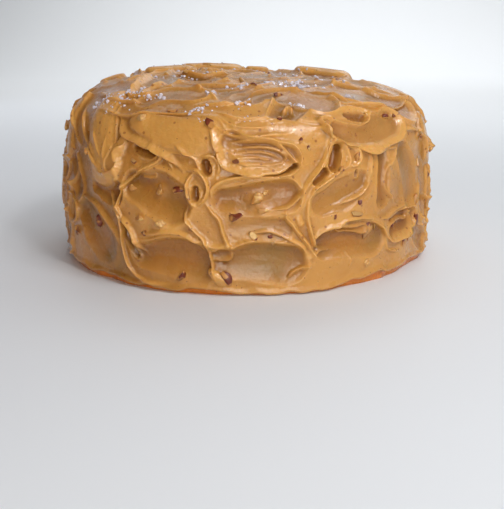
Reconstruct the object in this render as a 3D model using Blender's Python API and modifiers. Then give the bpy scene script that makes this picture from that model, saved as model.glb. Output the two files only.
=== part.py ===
"""A salted caramel layer cake, uncut, as one solid.

The cake is a turned body about 236 mm across and 110 mm high, a little slumped. The frosting is
worked over it the way a spatula does it: each swipe flattens what lies under it, scoops a shallow
floor and pushes up a crest along its edges, and a ridge is a rope of frosting left between swipes.
Chopped pecans and salt flakes are then joined to the frosting.

Lengths are in metres. The recipe lists are in millimetres and degrees, and MM turns them into
metres. An angle is counted round the cake from its front, -Y, towards +X. A rise is the distance
over the skin from the bottom edge, up the side and over the shoulder.
"""

import math
from collections import namedtuple

import bmesh
import bpy
import numpy as np
from mathutils import Matrix, Vector
from mathutils.bvhtree import BVHTree

MM = 0.001

# Body of the cake
BASE_RADIUS = 0.1150
WIDEST_RADIUS = 0.1168
WIDEST_HEIGHT = 0.028
SHOULDER_HEIGHT = 0.078
SIDE_TAPER = 0.0045
CAKE_HEIGHT = 0.1095
SHOULDER_POWER = 3.4

# Slump: the lean of its top, the fall of the top towards +X, and the push of its foot
LEAN = 0.0035
TOP_TILT = 0.045
FOOT_SHIFT = 0.0015
FOOT_HEIGHT = 0.020

# Lower edge: a wavy foot, and a lip of frosting over the bare caramel that is drawn in under it
SKIRT_REACH = 0.0004
SKIRT_WAVES = ((0.021, 0.0016), (0.0075, 0.0007))
LIP_RISE = 0.0018
LIP_SPREAD = 0.0024
LIP_WAVES = ((0.015, 0.0017), (0.006, 0.0010))
LIP_REACH = 0.0013
TUCK = 0.0022

# Fineness of the solid
TURN_STEPS = 440
RISE_STEP = 0.0010
FROSTING_TRIANGLES = 5950
BASE_SNAP = 0.0003

# Frosting
CREST_CORE = 0.0004
CREST_INNER = 0.0015
CREST_OUTER = 0.0010
CREST_ROOM = (0.0008, 0.0040)
ROPE_SHARE = 0.66
ROPE_WIDTH = 0.82
ROPE_HEIGHT = 1.15
WANDER_SIZES = (0.016, 0.006)
WANDER_REACHES = (0.0011, 0.0004)
PATH_POINTS = 20
UNDULATION_SIZE = 0.045
UNDULATION_HEIGHT = 0.0016
RIPPLE_SIZE = 0.013
RIPPLE_HEIGHT = 0.0007
FRONT_HALF_TURN = 66
SEED = 41

# path is a curve through its points, (degrees, rise) on the side or (x, y) on the top. depth is
# positive for a scoop and negative for a raised tongue. left, right and lip are the heights of the
# crests on its two edges and round its end, and lean is how far they fold outwards.
Swipe = namedtuple("Swipe", "path half_width depth left right lip lean")
# A ridge is a rope of frosting half_width to each side of its path. It folds over to the left of
# the path where lean is positive, to the right where it is negative. drop makes the frosting on
# that side lower, as at the edge of a thicker layer.
Ridge = namedtuple("Ridge", "path height lean drop half_width")
# A pecan piece: place, length, width, the turn of its length from level, how far it stands out of
# the frosting, and whether it is all but covered by it.
Nut = namedtuple("Nut", "place length width turn stand coated")

FRONT_SCOOPS = [
    Swipe([(-53, 37), (-49, 30), (-44, 20)], 13, 3.4, 1.6, 0.6, 0.6, 0.5),
    Swipe([(-31, 57), (-25, 55), (-20, 51)], 13, 2.6, 1.3, 0.8, 0.6, 0.2),
    Swipe([(-29, 19), (-21, 20), (-13, 18)], 13, 3.0, 1.2, 0.3, 0.9, 0.2),
    Swipe([(-5, 18), (3, 20), (11, 17)], 12, 2.6, 1.0, 0.3, 0.8, 0.2),
    Swipe([(-6, 53), (2, 53), (10, 55)], 9.5, 2.6, 1.2, 0.6, 1.2, 0.2),
    Swipe([(-3, 38), (9, 37)], 7, 0.8, 0.0, 0.2, 0.2, 0.0),
    Swipe([(21, 50), (26, 53), (32, 57)], 10, 1.3, 0.2, 0.3, 0.4, 0.2),
    Swipe([(22, 26), (30, 28), (37, 27)], 11, 3.2, 1.2, 0.2, 0.6, 0.2),
    Swipe([(46, 28), (55, 32)], 6.5, 3.4, 1.0, 1.2, 1.6, 0.4),
    Swipe([(41, 73), (41, 47)], 6, 2.2, 0.4, 0.8, 0.3, 0.0),
    Swipe([(51, 72), (54, 60), (55, 47)], 10, 1.4, 0.7, 0.5, 0.9, 0.2),
    Swipe([(64, 60), (66, 34)], 8, 1.6, 0.7, 0.9, 0.8, 0.3),
    Swipe([(58, 22), (66, 12)], 7, 1.6, 0.9, 0.8, 0.6, 0.3),
    Swipe([(-47, 54), (-39, 52)], 8, 2.6, 0.3, 0.4, 0.6, 0.0),
    Swipe([(-66, 66), (-61, 60), (-58, 50)], 7, 2.2, 1.2, 0.6, 0.9, 0.3),
    Swipe([(-8, 23), (-5, 23.5)], 4, 1.4, 0.0, 0.0, 0.2, 0.0),
]

FRONT_TONGUES = [
    Swipe([(-49, 104), (-47, 84), (-44, 66)], 12, -2.6, 1.2, 0.9, 1.2, 0.8),
    Swipe([(-37, 80), (-40, 68)], 5, -2.0, 0.6, 0.8, 1.0, 0.6),
    Swipe([(-33, 92), (-23, 88), (-11, 86)], 9, -1.6, 0.4, 1.2, 0.5, 0.9),
    Swipe([(-1, 91), (9, 91), (19, 87)], 6.5, -1.0, 0.5, 0.4, 0.6, 0.2),
    Swipe([(26, 88), (36, 87), (46, 91)], 8, 1.0, 0.6, 1.4, 1.5, 0.6),
    Swipe([(-4, 84), (2, 78), (10, 74)], 7.5, 1.4, 1.1, 1.2, 1.6, 0.6),
    Swipe([(70, 88), (74, 66)], 9, -1.8, 0.5, 0.5, 0.9, 0.4),
    Swipe([(-86, 60), (-84, 38)], 10, -2.6, 0.5, 0.5, 1.2, 0.6),
    Swipe([(-70, 94), (-69, 72)], 8, -1.8, 0.6, 0.6, 1.0, 0.5),
    Swipe([(-9, 14), (-6.5, 9)], 3.5, -2.4, 0.3, 0.3, 0.6, 0.3),
]

FRONT_POCKETS = [
    Swipe([(-32, 78.2), (-27, 77)], 4.6, 3.2, 0.4, 1.0, 1.0, 0.4),
    Swipe([(-11, 72), (-10.5, 68)], 2.6, 3.2, 0.5, 0.6, 0.5, 0.1),
    Swipe([(-13.5, 58.5), (-13.4, 54)], 3.0, 2.6, 0.6, 0.6, 0.5, 0.1),
    Swipe([(24.8, 79), (23.8, 69.5)], 3.6, 3.8, 0.6, 0.6, 0.5, 0.3),
    Swipe([(18.2, 61.5), (21, 66.5)], 2.6, 3.0, 0.4, 0.4, 0.4, 0.2),
    Swipe([(-35, 35), (-33.5, 27), (-31, 19)], 2.6, 3.0, 0.4, 0.4, 0.6, 0.2),
    Swipe([(30.5, 96.8), (35, 95.2)], 3.0, 2.0, 0.5, 0.6, 0.8, 0.2),
    Swipe([(30.8, 65.5), (31, 62.8)], 1.8, 1.8, 0.8, 0.8, 0.7, 0.0),
    Swipe([(-62, 39.5), (-62.5, 32)], 2.8, 3.6, 0.6, 0.9, 0.8, 0.2),
    Swipe([(-28.5, 63.8), (-25.5, 64.2)], 1.5, 0.8, 0.6, 0.6, 0.6, 0.0),
    Swipe([(0, 67), (5, 67.2), (9, 68), (12.5, 70.5)], 2.0, 3.4, 0.0, 0.5, 0.2, 0.0),
    Swipe([(44.5, 33.5), (49, 35), (52.5, 34.5)], 3.0, 2.6, 0.3, 0.4, 0.6, 0.4),
    Swipe([(26, 35), (30, 34.8), (34, 33)], 3.0, 1.6, 0.0, 0.2, 0.2, 0.0),
]

FRONT_RIDGES = [
    # Upper left: the thick lip of the broad scoop, and the folds under it
    Ridge([(-40, 93), (-37.5, 88), (-35, 84.5), (-31, 83), (-26.5, 80.5), (-23, 78), (-20, 74.5), (-17, 68)],
          2.6, -1.1, 1.4, 1.7),
    Ridge([(-26.5, 79), (-23, 75.5), (-21, 72), (-20, 68)], 1.5, -0.5, 0.0, 1.1),
    Ridge([(-26, 78.5), (-24, 75), (-25, 71.5), (-28, 68.5), (-31.5, 65)], 2.2, 0.3, 0.0, 1.5),
    Ridge([(-20, 81), (-14, 75), (-12.5, 68)], 1.2, -0.4, 0.0, 1.0),
    # Left pool: its bright rim, and the double ridge running down from it
    Ridge([(-28, 68.5), (-33, 63), (-36, 56), (-38, 47), (-37, 43), (-35, 38)], 2.6, 0.4, 0.0, 1.5),
    Ridge([(-36.5, 41.5), (-33, 36.5), (-31.5, 32), (-30.5, 27.5), (-28, 21)], 2.3, -0.3, 0.0, 1.4),
    Ridge([(-39.5, 46), (-37, 39), (-36, 33), (-36, 27), (-35, 20), (-34, 12.5), (-31.5, 7), (-27, 5), (-21, 5.5)],
          2.4, 0.3, 0.0, 1.4),
    Ridge([(-42, 54), (-39, 46), (-37, 40.5), (-35, 36)], 1.4, 0.2, 0.0, 1.0),
    # Lower left pool and the left edge
    Ridge([(-54, 46), (-48, 45), (-42, 38), (-38, 30), (-36.5, 20)], 1.8, -0.8, 0.6, 1.5),
    Ridge([(-66, 46), (-61, 42.5), (-58, 37.5), (-59.5, 31.5), (-64, 27)], 2.0, 0.3, 0.0, 1.3),
    Ridge([(-61, 68), (-60, 61.5), (-61, 55), (-64, 49.5)], 1.6, 0.2, 0.0, 1.2),
    Ridge([(-70, 46), (-68.5, 38), (-67, 31), (-64, 27)], 1.2, 0.0, 0.0, 1.2),
    # Hanging tongues at the upper left
    Ridge([(-63.5, 95), (-60, 88), (-57, 80), (-52.5, 74), (-48.5, 67.5), (-45, 64)], 2.0, 0.5, 0.4, 1.7),
    Ridge([(-34.5, 81.5), (-36, 77), (-38, 73.5), (-37, 69), (-38, 64), (-41.5, 60.5), (-45, 62)],
          2.2, -0.8, 0.5, 1.6),
    Ridge([(-49.5, 84), (-47.5, 78), (-45, 71)], 0.8, 0.0, 0.0, 0.9),
    Ridge([(-53, 82), (-51, 76), (-47.5, 70)], 0.7, 0.0, 0.0, 0.9),
    Ridge([(-43, 82), (-43.5, 75), (-43.5, 69)], 0.6, 0.0, 0.0, 0.9),
    Ridge([(-71, 94), (-68, 86), (-63.5, 78.5), (-59.5, 73.5)], 1.5, 0.4, 0.0, 1.4),
    Ridge([(-50, 94.5), (-45, 94), (-37, 94.5), (-29, 97), (-19.5, 98), (-12, 99.5)], 1.4, -0.6, 0.6, 1.1),
    # Ribs between the left and the middle pools
    Ridge([(-16.5, 68.5), (-13, 68), (-11, 64), (-10, 58.5), (-11, 53), (-13, 49.5)], 2.2, 0.0, 0.0, 1.4),
    Ridge([(-14, 67), (-15.5, 62.5), (-15.8, 57), (-14.8, 52), (-13, 49.5)], 2.0, 0.0, 0.0, 1.3),
    Ridge([(-10.5, 51.5), (-9, 47), (-7, 43), (-6, 37), (-5, 31.5), (-3, 27)], 2.2, 0.2, 0.0, 1.4),
    Ridge([(-15.5, 49), (-16, 43.5), (-14, 38), (-11, 32.5), (-10, 27.5), (-9, 22), (-8.5, 15), (-8, 10)],
          2.3, 0.0, 0.0, 1.3),
    Ridge([(-11, 31), (-8, 29), (-5, 29.5), (-3, 30)], 1.7, -0.6, 0.4, 1.2),
    Ridge([(-12.5, 74.5), (-9.5, 75.5), (-7.5, 71), (-8, 65.5)], 1.6, 0.2, 0.0, 1.3),
    # Lower pools: arches over them
    Ridge([(-29, 31), (-25.5, 34), (-21.5, 35.5), (-17, 35), (-13, 31), (-10.5, 25)], 1.6, -0.6, 0.8, 1.6),
    Ridge([(1.5, 36), (5.5, 37), (9, 35), (12, 31.5), (15, 27.5), (16, 21.5)], 1.7, -0.6, 0.8, 1.5),
    Ridge([(19, 31), (20.5, 35), (23.5, 37), (28.5, 36), (35, 34.5)], 1.6, -0.8, 0.8, 1.4),
    # The oval swirl in the middle: its sweeping sides and the thick lower lip that hangs over
    Ridge([(-10.5, 91), (-8.5, 84.5), (-7, 79), (-6.5, 75), (-5, 71.5), (-1.5, 70.5), (4, 69), (9, 70), (13, 73.5)],
          3.0, -1.1, 0.8, 2.0),
    Ridge([(-4.5, 83), (-1, 84), (3, 84), (7, 82.5), (10, 78), (12, 74), (14, 70)], 2.0, 0.2, 0.0, 1.4),
    Ridge([(-3, 80.5), (2, 81), (7, 79.5), (10.2, 75.5), (9, 72.5)], 1.5, 0.0, 0.0, 1.0),
    Ridge([(-3.5, 78), (2, 78.5), (6, 77), (8.5, 74.5)], 1.2, 0.0, 0.0, 0.9),
    Ridge([(-4, 75.5), (1, 75.8), (5, 74.5), (7.5, 73)], 1.1, 0.0, 0.0, 0.9),
    Ridge([(-3.5, 73.2), (1, 72.8), (6, 71.8), (10, 72.5)], 1.2, -0.3, 0.0, 0.9),
    Ridge([(-10, 92), (-6, 87.5), (-1, 85.8), (6, 86.5), (12, 87.5)], 1.4, 0.0, 0.0, 1.2),
    Ridge([(-9, 99), (-4, 96), (2, 95.8), (8, 96.5)], 1.2, 0.0, 0.0, 1.0),
    Ridge([(-8.5, 96), (-5, 92), (0, 90.5), (6, 91)], 1.0, 0.0, 0.0, 0.9),
    # Middle pool: its rim
    Ridge([(-8.5, 53), (-9, 58), (-6.5, 62), (-1.5, 64.5), (5, 65.5), (10, 66.5)], 2.3, 0.3, 0.0, 1.6),
    Ridge([(22, 83), (21.5, 76), (19.5, 70), (17, 64), (15, 58), (13, 53), (10.5, 49), (6, 47.5)],
          2.3, 0.3, 0.0, 1.4),
    # Ribs right of the middle, and the small lump between them
    Ridge([(13.2, 45), (13.8, 41.5), (14.8, 38)], 1.6, 0.0, 0.0, 2.4),
    Ridge([(10.5, 48), (10.5, 43), (12.5, 38), (14.3, 33), (16, 28.5), (18, 23)], 2.2, 0.0, 0.0, 1.3),
    Ridge([(16.5, 55), (16, 49), (16, 43), (16.5, 37), (17.3, 31), (18.5, 27), (20.5, 24.5)], 2.5, 0.0, 0.0, 1.6),
    Ridge([(16.5, 51), (17.5, 55), (18.5, 58), (21, 61), (24, 64.5), (26.5, 69.5)], 2.2, 0.0, 0.0, 1.4),
    Ridge([(16, 58), (18, 64), (20, 68), (21.5, 72), (22.5, 79), (24, 83)], 1.9, 0.3, 0.0, 1.2),
    Ridge([(23, 82.5), (25, 83), (27, 79.5), (28, 74.5), (28, 70.5), (26, 66)], 2.2, 0.3, 0.0, 1.4),
    Ridge([(28, 80.5), (30.5, 78), (31.5, 74), (31, 70.5), (28.5, 68)], 2.2, 0.5, 0.0, 1.5),
    Ridge([(36.5, 78), (36, 70), (35, 62), (34.5, 57), (32, 52.5), (28.5, 50.5), (24, 48)], 2.0, 0.3, 0.0, 1.4),
    # Upper right: the fold over the broad scoop, its hook, and the ledge under it
    Ridge([(19, 90.5), (21, 90), (23, 87), (26, 83), (29, 80.5), (33, 78.5)], 2.2, -0.4, 0.0, 1.6),
    Ridge([(32.5, 78.5), (39, 78.5), (45.5, 80), (49.5, 83), (51, 88), (50, 97)], 2.4, -0.9, 0.8, 1.8),
    Ridge([(26, 99), (31, 101), (35.5, 100), (38, 97), (36, 92.5), (33, 90)], 1.8, 0.3, 0.0, 1.2),
    Ridge([(23, 94.5), (27, 92.5), (31.5, 91), (35, 90.5)], 1.5, 0.0, 0.0, 1.0),
    Ridge([(19.5, 97), (20.5, 93), (22, 90), (24, 86.5)], 2.0, 0.0, 0.0, 1.2),
    Ridge([(31.5, 78), (38, 77.5), (45, 76.5), (48, 75)], 1.6, -0.9, 0.5, 1.3),
    Ridge([(48, 75.5), (45.5, 70), (43, 66), (42, 61), (42, 53), (44.5, 47), (48, 42.5)], 1.8, 0.2, 0.0, 1.2),
    Ridge([(50, 84.5), (55, 85.5), (62, 83), (68, 78), (70, 70), (69, 60)], 2.0, -0.6, 0.5, 1.6),
    # Lower right: the small pocket with its folded edge, and the creases round it
    Ridge([(40.5, 37), (43, 37), (46.5, 40), (52.5, 41)], 1.5, -0.4, 0.0, 1.2),
    Ridge([(52, 38), (55, 31.5), (54, 26), (50, 24), (45.5, 23), (43, 24)], 2.5, 1.0, 0.0, 1.6),
    Ridge([(42.5, 25), (43.5, 17), (49, 14)], 1.4, 0.0, 0.0, 1.1),
    Ridge([(35, 36), (38, 35.5), (41, 31.5), (42.5, 26.5), (46, 21.5)], 1.5, -0.3, 0.0, 1.0),
    Ridge([(17, 20), (20, 24), (24, 23.5)], 1.9, -0.5, 0.0, 1.3),
    Ridge([(11, 9), (14, 14), (18, 16)], 1.6, 0.4, 0.0, 1.3),
    Ridge([(28, 22), (29.5, 17), (29, 12)], 0.9, 0.0, 0.0, 1.0),
]

TOP_SWIPES = [
    Swipe([(40, -60), (60, -60), (86, -52)], 14, 2.4, 1.6, 1.6, 2.4, 0.3),
    Swipe([(-2, -86), (16, -80), (36, -84)], 13, 2.2, 1.6, 0.8, 1.4, 0.2),
    Swipe([(-56, -80), (-42, -76), (-28, -82)], 9, 1.6, 1.6, 0.8, 1.2, 0.2),
    Swipe([(-92, -30), (-80, -40), (-72, -54)], 10, 1.6, 1.2, 1.0, 1.6, 0.2),
    Swipe([(-36, -60), (-18, -62), (2, -50)], 10, 1.8, 1.8, 1.2, 1.4, 0.3),
    Swipe([(-40, 46), (-28, 50), (-14, 50)], 11, -4.6, 0.6, 1.0, 1.8, 0.6),
    Swipe([(38, 42), (50, 40), (60, 32)], 11, -5.6, 0.6, 1.2, 1.6, 0.6),
    Swipe([(2, 54), (9, 54)], 6, -3.4, 0.6, 0.6, 0.9, 0.3),
    Swipe([(-64, 26), (-54, 30), (-44, 34)], 8, -3.4, 1.0, 0.8, 1.6, 0.5),
    Swipe([(-94, 16), (-86, 22)], 5, -2.6, 0.6, 0.6, 1.0, 0.4),
    Swipe([(80, 12), (90, 4), (98, -8)], 6, -1.8, 0.6, 0.6, 1.0, 0.4),
]

TOP_RIDGES = [
    Ridge([(-66, -70), (-63, -56), (-59, -40), (-56, -26)], 3.0, 0.6, 1.0, 2.2),
    Ridge([(-59, -73), (-52, -63), (-45, -56)], 2.8, 0.6, 0.8, 2.0),
    Ridge([(-39, -64), (-26, -62), (-12, -62), (-2, -50), (-8, -36)], 2.6, 0.4, 0.8, 2.0),
    Ridge([(-44, -12), (-26, -22), (-12, -10)], 2.8, -0.5, 0.8, 2.0),
    Ridge([(18, -101), (21, -96), (24, -99)], 3.2, 0.0, 0.0, 1.8),
    Ridge([(-27, -95), (-14, -97), (-2, -94), (2, -84)], 1.6, -0.5, 0.6, 1.6),
    Ridge([(-80, -65), (-69, -73), (-57, -80)], 1.8, -0.5, 0.4, 1.4),
    Ridge([(48, -83), (58, -78), (71, -71), (83, -60), (91, -42), (92, -26)], 2.6, -0.5, 0.4, 1.6),
    Ridge([(46, -36), (62, -40), (76, -46), (90, -38)], 2.4, 0.4, 0.6, 1.8),
    Ridge([(34, -66), (44, -70), (56, -78)], 2.0, 0.2, 0.6, 1.5),
    Ridge([(36, -101), (40, -98), (45, -97)], 2.4, 0.0, 0.0, 1.5),
    Ridge([(-2, -86), (6, -76), (20, -68), (34, -70)], 1.8, 0.4, 0.8, 1.5),
]

FRONT_NUTS = [
    Nut((-46.5, 35), 9.0, 5.0, 80, 0.40, 0),
    Nut((36, 31), 11.5, 5.5, 80, 0.50, 0),
    Nut((2.8, 54), 8.0, 6.0, 40, 0.60, 1),
    Nut((5, 57), 4.0, 3.0, 10, 0.50, 1),
    Nut((4.5, 47.5), 6.0, 3.5, -10, 0.50, 1),
    Nut((-32.5, 56.5), 5.0, 4.0, 20, 0.40, 1),
    Nut((-23.8, 57), 6.0, 4.5, 60, 0.50, 1),
    Nut((-18.5, 57.5), 7.0, 4.0, 0, 0.45, 0),
    Nut((-2.8, 44.5), 7.5, 4.5, 35, 0.50, 0),
    Nut((2, 34), 6.0, 3.5, -60, 0.35, 0),
    Nut((30.5, 42), 8.0, 3.5, -5, 0.45, 0),
    Nut((32, 48.5), 3.5, 2.5, 60, 0.45, 0),
    Nut((-17.5, 10), 8.5, 4.0, 75, 0.45, 0),
    Nut((-5, 11), 9.0, 5.0, -50, 0.50, 0),
    Nut((-10.2, 92), 7.5, 4.5, -55, 0.45, 0),
    Nut((-31, 92.5), 6.0, 4.5, 0, 0.35, 1),
    Nut((-32, 70.5), 4.0, 2.8, -30, 0.45, 0),
    Nut((-51.5, 71.5), 5.0, 4.0, 0, 0.45, 1),
    Nut((-58, 24), 8.0, 4.5, -60, 0.35, 0),
    Nut((-29, 41), 6.0, 4.0, 30, 0.40, 1),
    Nut((-28, 33), 4.0, 3.0, 0, 0.45, 0),
    Nut((-22.5, 39), 7.0, 5.0, 10, 0.20, 1),
    Nut((30.8, 74), 8.0, 3.6, 70, 0.40, 0),
    Nut((25.6, 67.5), 3.6, 3.2, 0, 0.35, 0),
    Nut((14.2, 83.5), 4.5, 2.4, 60, 0.40, 0),
    Nut((16.7, 80), 3.0, 2.2, -40, 0.40, 0),
    Nut((22, 92), 4.0, 3.0, 0, 0.45, 0),
    Nut((46.3, 31.5), 5.0, 2.5, 80, 0.35, 0),
    Nut((58, 41), 8.0, 4.0, 50, 0.45, 0),
    Nut((59, 29), 10.0, 4.0, -70, 0.40, 0),
    Nut((51.5, 19), 6.5, 3.0, 60, 0.30, 0),
    Nut((54.5, 20), 5.0, 2.4, -70, 0.30, 0),
    Nut((61, 62), 5.0, 3.0, 75, 0.35, 0),
    Nut((63, 77), 5.0, 3.5, 30, 0.45, 0),
    Nut((46, 95), 5.0, 3.5, 0, 0.45, 0),
    Nut((49.5, 94), 3.0, 2.4, 0, 0.40, 0),
    Nut((35, 13), 5.0, 3.5, 60, 0.30, 1),
    Nut((38.8, 32.5), 4.5, 2.6, 70, 0.40, 0),
    Nut((-23, 100), 7.0, 3.5, 0, 0.45, 0),
    Nut((6.5, 33.5), 2.8, 2.0, 0, 0.35, 0),
    Nut((7.2, 30), 2.6, 2.0, 50, 0.35, 0),
    Nut((24, 42), 2.8, 2.2, 50, 0.35, 0),
    Nut((-2.6, 73.5), 4.0, 2.6, 10, 0.40, 0),
    Nut((-9.7, 69), 4.0, 3.0, 70, 0.20, 0),
    Nut((9, 96), 3.0, 2.6, 0, 0.40, 0),
]

# Where nothing was placed by hand, swipes and nuts are drawn at random from these ranges
SIDE_SWIPE_COLUMNS = 15
SIDE_SWIPE_ROWS = (14, 36, 58, 80)
FRONT_EDGE = 62
TOP_SWIPE_COUNT = 26
BACK_RIDGES = 60
BACK_NUTS = 40
TOP_NUTS = 18

# Salt: the largest flakes, in clusters on the top, as (x, y, spread, count)
SALT_SIZE = (1.8, 3.2)
SALT_THICKNESS = 0.45
# One flake is made for each SALT_SHARE of a cluster's count
SALT_SHARE = 6
SALT_CLUSTERS = [
    (-82, -60, 9, 16),
    (-66, -70, 12, 60),
    (-52, -76, 6, 14),
    (-76, -69, 5, 9),
    (-29, -98, 4, 12),
    (-23, -98, 6, 10),
    (-20, -80, 4, 16),
    (-4, -64, 8, 34),
    (-3, -97, 6, 12),
    (10, -50, 6, 26),
    (28, -46, 13, 74),
    (26, -91, 5, 12),
    (55, -58, 4, 12),
    (-40, -20, 18, 20),
    (-20, 10, 26, 30),
    (40, -20, 20, 24),
    (30, 28, 28, 36),
    (-40, 34, 28, 30),
    (0, 72, 24, 16),
    (-76, -75, 3, 5),
    (-25, -104, 3, 4),
    (0, -107, 4, 6),
]


# Body

def side_radius(height):
    """Radius of the side: widest low down, drawn in by SIDE_TAPER at the shoulder."""
    above = (height - WIDEST_HEIGHT) / (SHOULDER_HEIGHT - WIDEST_HEIGHT)
    below = (WIDEST_HEIGHT - height) / WIDEST_HEIGHT
    upper = WIDEST_RADIUS - SIDE_TAPER * above**2
    lower = WIDEST_RADIUS - (WIDEST_RADIUS - BASE_RADIUS) * below**2
    return np.where(height > WIDEST_HEIGHT, upper, lower)


def skin_profile(step):
    """(radius, height, rise) up the side, over the shoulder and to the middle of the top, step
    apart. The shoulder and the low dome are one superellipse."""
    side = np.linspace(0, SHOULDER_HEIGHT, 200, endpoint=False)
    turn = np.linspace(0, math.pi / 2, 400)
    rising = SHOULDER_HEIGHT + (CAKE_HEIGHT - SHOULDER_HEIGHT) * np.sin(turn) ** (2 / SHOULDER_POWER)
    share = np.clip(np.cos(turn), 0, 1) ** (2 / SHOULDER_POWER)
    radius = np.concatenate([side_radius(side), side_radius(rising) * share])
    height = np.concatenate([side, rising])
    run = np.concatenate([[0], np.cumsum(np.hypot(np.diff(radius), np.diff(height)))])
    even = np.linspace(0, run[-1], int(run[-1] / step) + 1)
    return np.interp(even, run, radius), np.interp(even, run, height), even


RING_RADIUS, RING_HEIGHT, RING_RISE = skin_profile(0.0004)
SLOPE_RADIUS = np.gradient(RING_RADIUS, RING_RISE)
SLOPE_HEIGHT = np.gradient(RING_HEIGHT, RING_RISE)
TOP_START = int(np.searchsorted(RING_HEIGHT, SHOULDER_HEIGHT))


def skin_at(places, on_top):
    """(points, outward normals) of the bare skin at rows of (degrees, rise) on the side or (x, y)
    on the top."""
    places = np.atleast_2d(np.asarray(places, float))
    if on_top:
        angle = np.arctan2(places[:, 0], -places[:, 1])
        radius = np.hypot(places[:, 0], places[:, 1]) * MM
        rise = np.interp(radius, RING_RADIUS[:TOP_START:-1], RING_RISE[:TOP_START:-1])
    else:
        angle = np.radians(places[:, 0])
        rise = places[:, 1] * MM
    out = np.stack([np.sin(angle), -np.cos(angle)], 1)
    radius, height = np.interp(rise, RING_RISE, RING_RADIUS), np.interp(rise, RING_RISE, RING_HEIGHT)
    slope_r, slope_z = np.interp(rise, RING_RISE, SLOPE_RADIUS), np.interp(rise, RING_RISE, SLOPE_HEIGHT)
    normals = np.column_stack([out * slope_z[:, None], -slope_r])
    normals /= np.linalg.norm(normals, axis=1)[:, None]
    return np.column_stack([out * radius[:, None], height]), normals


def rises(points):
    """The rise of each point of the skin, from the profile's nearest point."""
    radius, height = np.hypot(points[:, 0], points[:, 1]), points[:, 2]
    found = np.empty(len(points), int)
    for start in range(0, len(points), 20000):
        part = slice(start, start + 20000)
        gap = (radius[part, None] - RING_RADIUS) ** 2 + (height[part, None] - RING_HEIGHT) ** 2
        found[part] = gap.argmin(1)
    return RING_RISE[found]


def settled(points):
    """The cake's slump: it leans by LEAN at the top, its top falls by TOP_TILT to one side, and its
    foot is pushed over by FOOT_SHIFT."""
    share = np.clip(points[:, 2] / CAKE_HEIGHT, 0, 1.1)
    shift = LEAN * share + FOOT_SHIFT * (1 - np.clip(points[:, 2] / FOOT_HEIGHT, 0, 1))
    sink = TOP_TILT * points[:, 0] * share**3
    return points + np.column_stack([shift, np.zeros(len(points)), -sink])


# Frosting

def lattice_noise(points, size, seed):
    """Smooth noise from -1 to 1: random values on a grid of that size, blended between its corners."""
    values = np.random.default_rng(seed).uniform(-1, 1, (24, 24, 24))
    place = points / size + 100.0
    cell = np.floor(place).astype(int)
    share = place - cell
    share = share * share * (3 - 2 * share)
    total = np.zeros(len(points))
    for corner in np.ndindex(2, 2, 2):
        at = (cell + corner) % 24
        weight = np.where(np.array(corner) == 1, share, 1 - share).prod(axis=1)
        total += weight * values[at[:, 0], at[:, 1], at[:, 2]]
    return total


def smooth(edge_low, edge_high, value):
    """0 below the low edge, 1 above the high edge, and an S curve between."""
    share = np.clip((value - edge_low) / (edge_high - edge_low), 0, 1)
    return share * share * (3 - 2 * share)


def crest_shape(distance, inner, outer):
    """1 on the crest's line, falling away at a rate of its own on each side, with a rounded tip."""
    soft = np.sqrt(distance**2 + CREST_CORE**2) - CREST_CORE
    return np.exp(-soft / np.where(distance < 0, inner, outer))


def curve_through(places):
    """PATH_POINTS points of a Catmull-Rom curve through the places, evenly spread by place."""
    knots = np.asarray(places, float)
    knots = np.vstack([2 * knots[0] - knots[1], knots, 2 * knots[-1] - knots[-2]])
    share = np.linspace(0, len(places) - 1, PATH_POINTS)
    first = np.minimum(share.astype(int), len(places) - 2)
    t = (share - first)[:, None]
    a, b, c, d = (knots[first + i] for i in range(4))
    return 0.5 * (2 * b + (c - a) * t + (2 * a - 5 * b + 4 * c - d) * t**2 + (3 * b - a - 3 * c + d) * t**3)


def along_path(skin, places, on_top, reach):
    """For the skin's points within reach of a curve: their indices, share of its way, distance
    from it, and the unit vectors away from it and along it."""
    path = skin_at(curve_through(places), on_top)[0]
    low, high = path.min(0) - reach, path.max(0) + reach
    near = np.flatnonzero(((skin > low) & (skin < high)).all(axis=1))
    spot = skin[near]
    begin, step = path[:-1], np.diff(path, axis=0)
    length = np.maximum((step**2).sum(1), 1e-10)
    share = np.clip((spot @ step.T - (begin * step).sum(1)) / length, 0, 1)
    square = np.stack([(spot[:, i, None] - begin[:, i] - share * step[:, i]) ** 2 for i in range(3)]).sum(0)
    best = square.argmin(1)
    row = np.arange(len(near))
    distance = np.sqrt(square[row, best])
    foot = begin[best] + share[row, best][:, None] * step[best]
    away = (spot - foot) / np.maximum(distance, 1e-7)[:, None]
    heading = step[best] / np.sqrt(length[best])[:, None]
    size = np.sqrt(length)
    run = np.concatenate([[0], np.cumsum(size)])[best] + share[row, best] * size[best]
    return near, run / size.sum(), distance, away, heading


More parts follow.
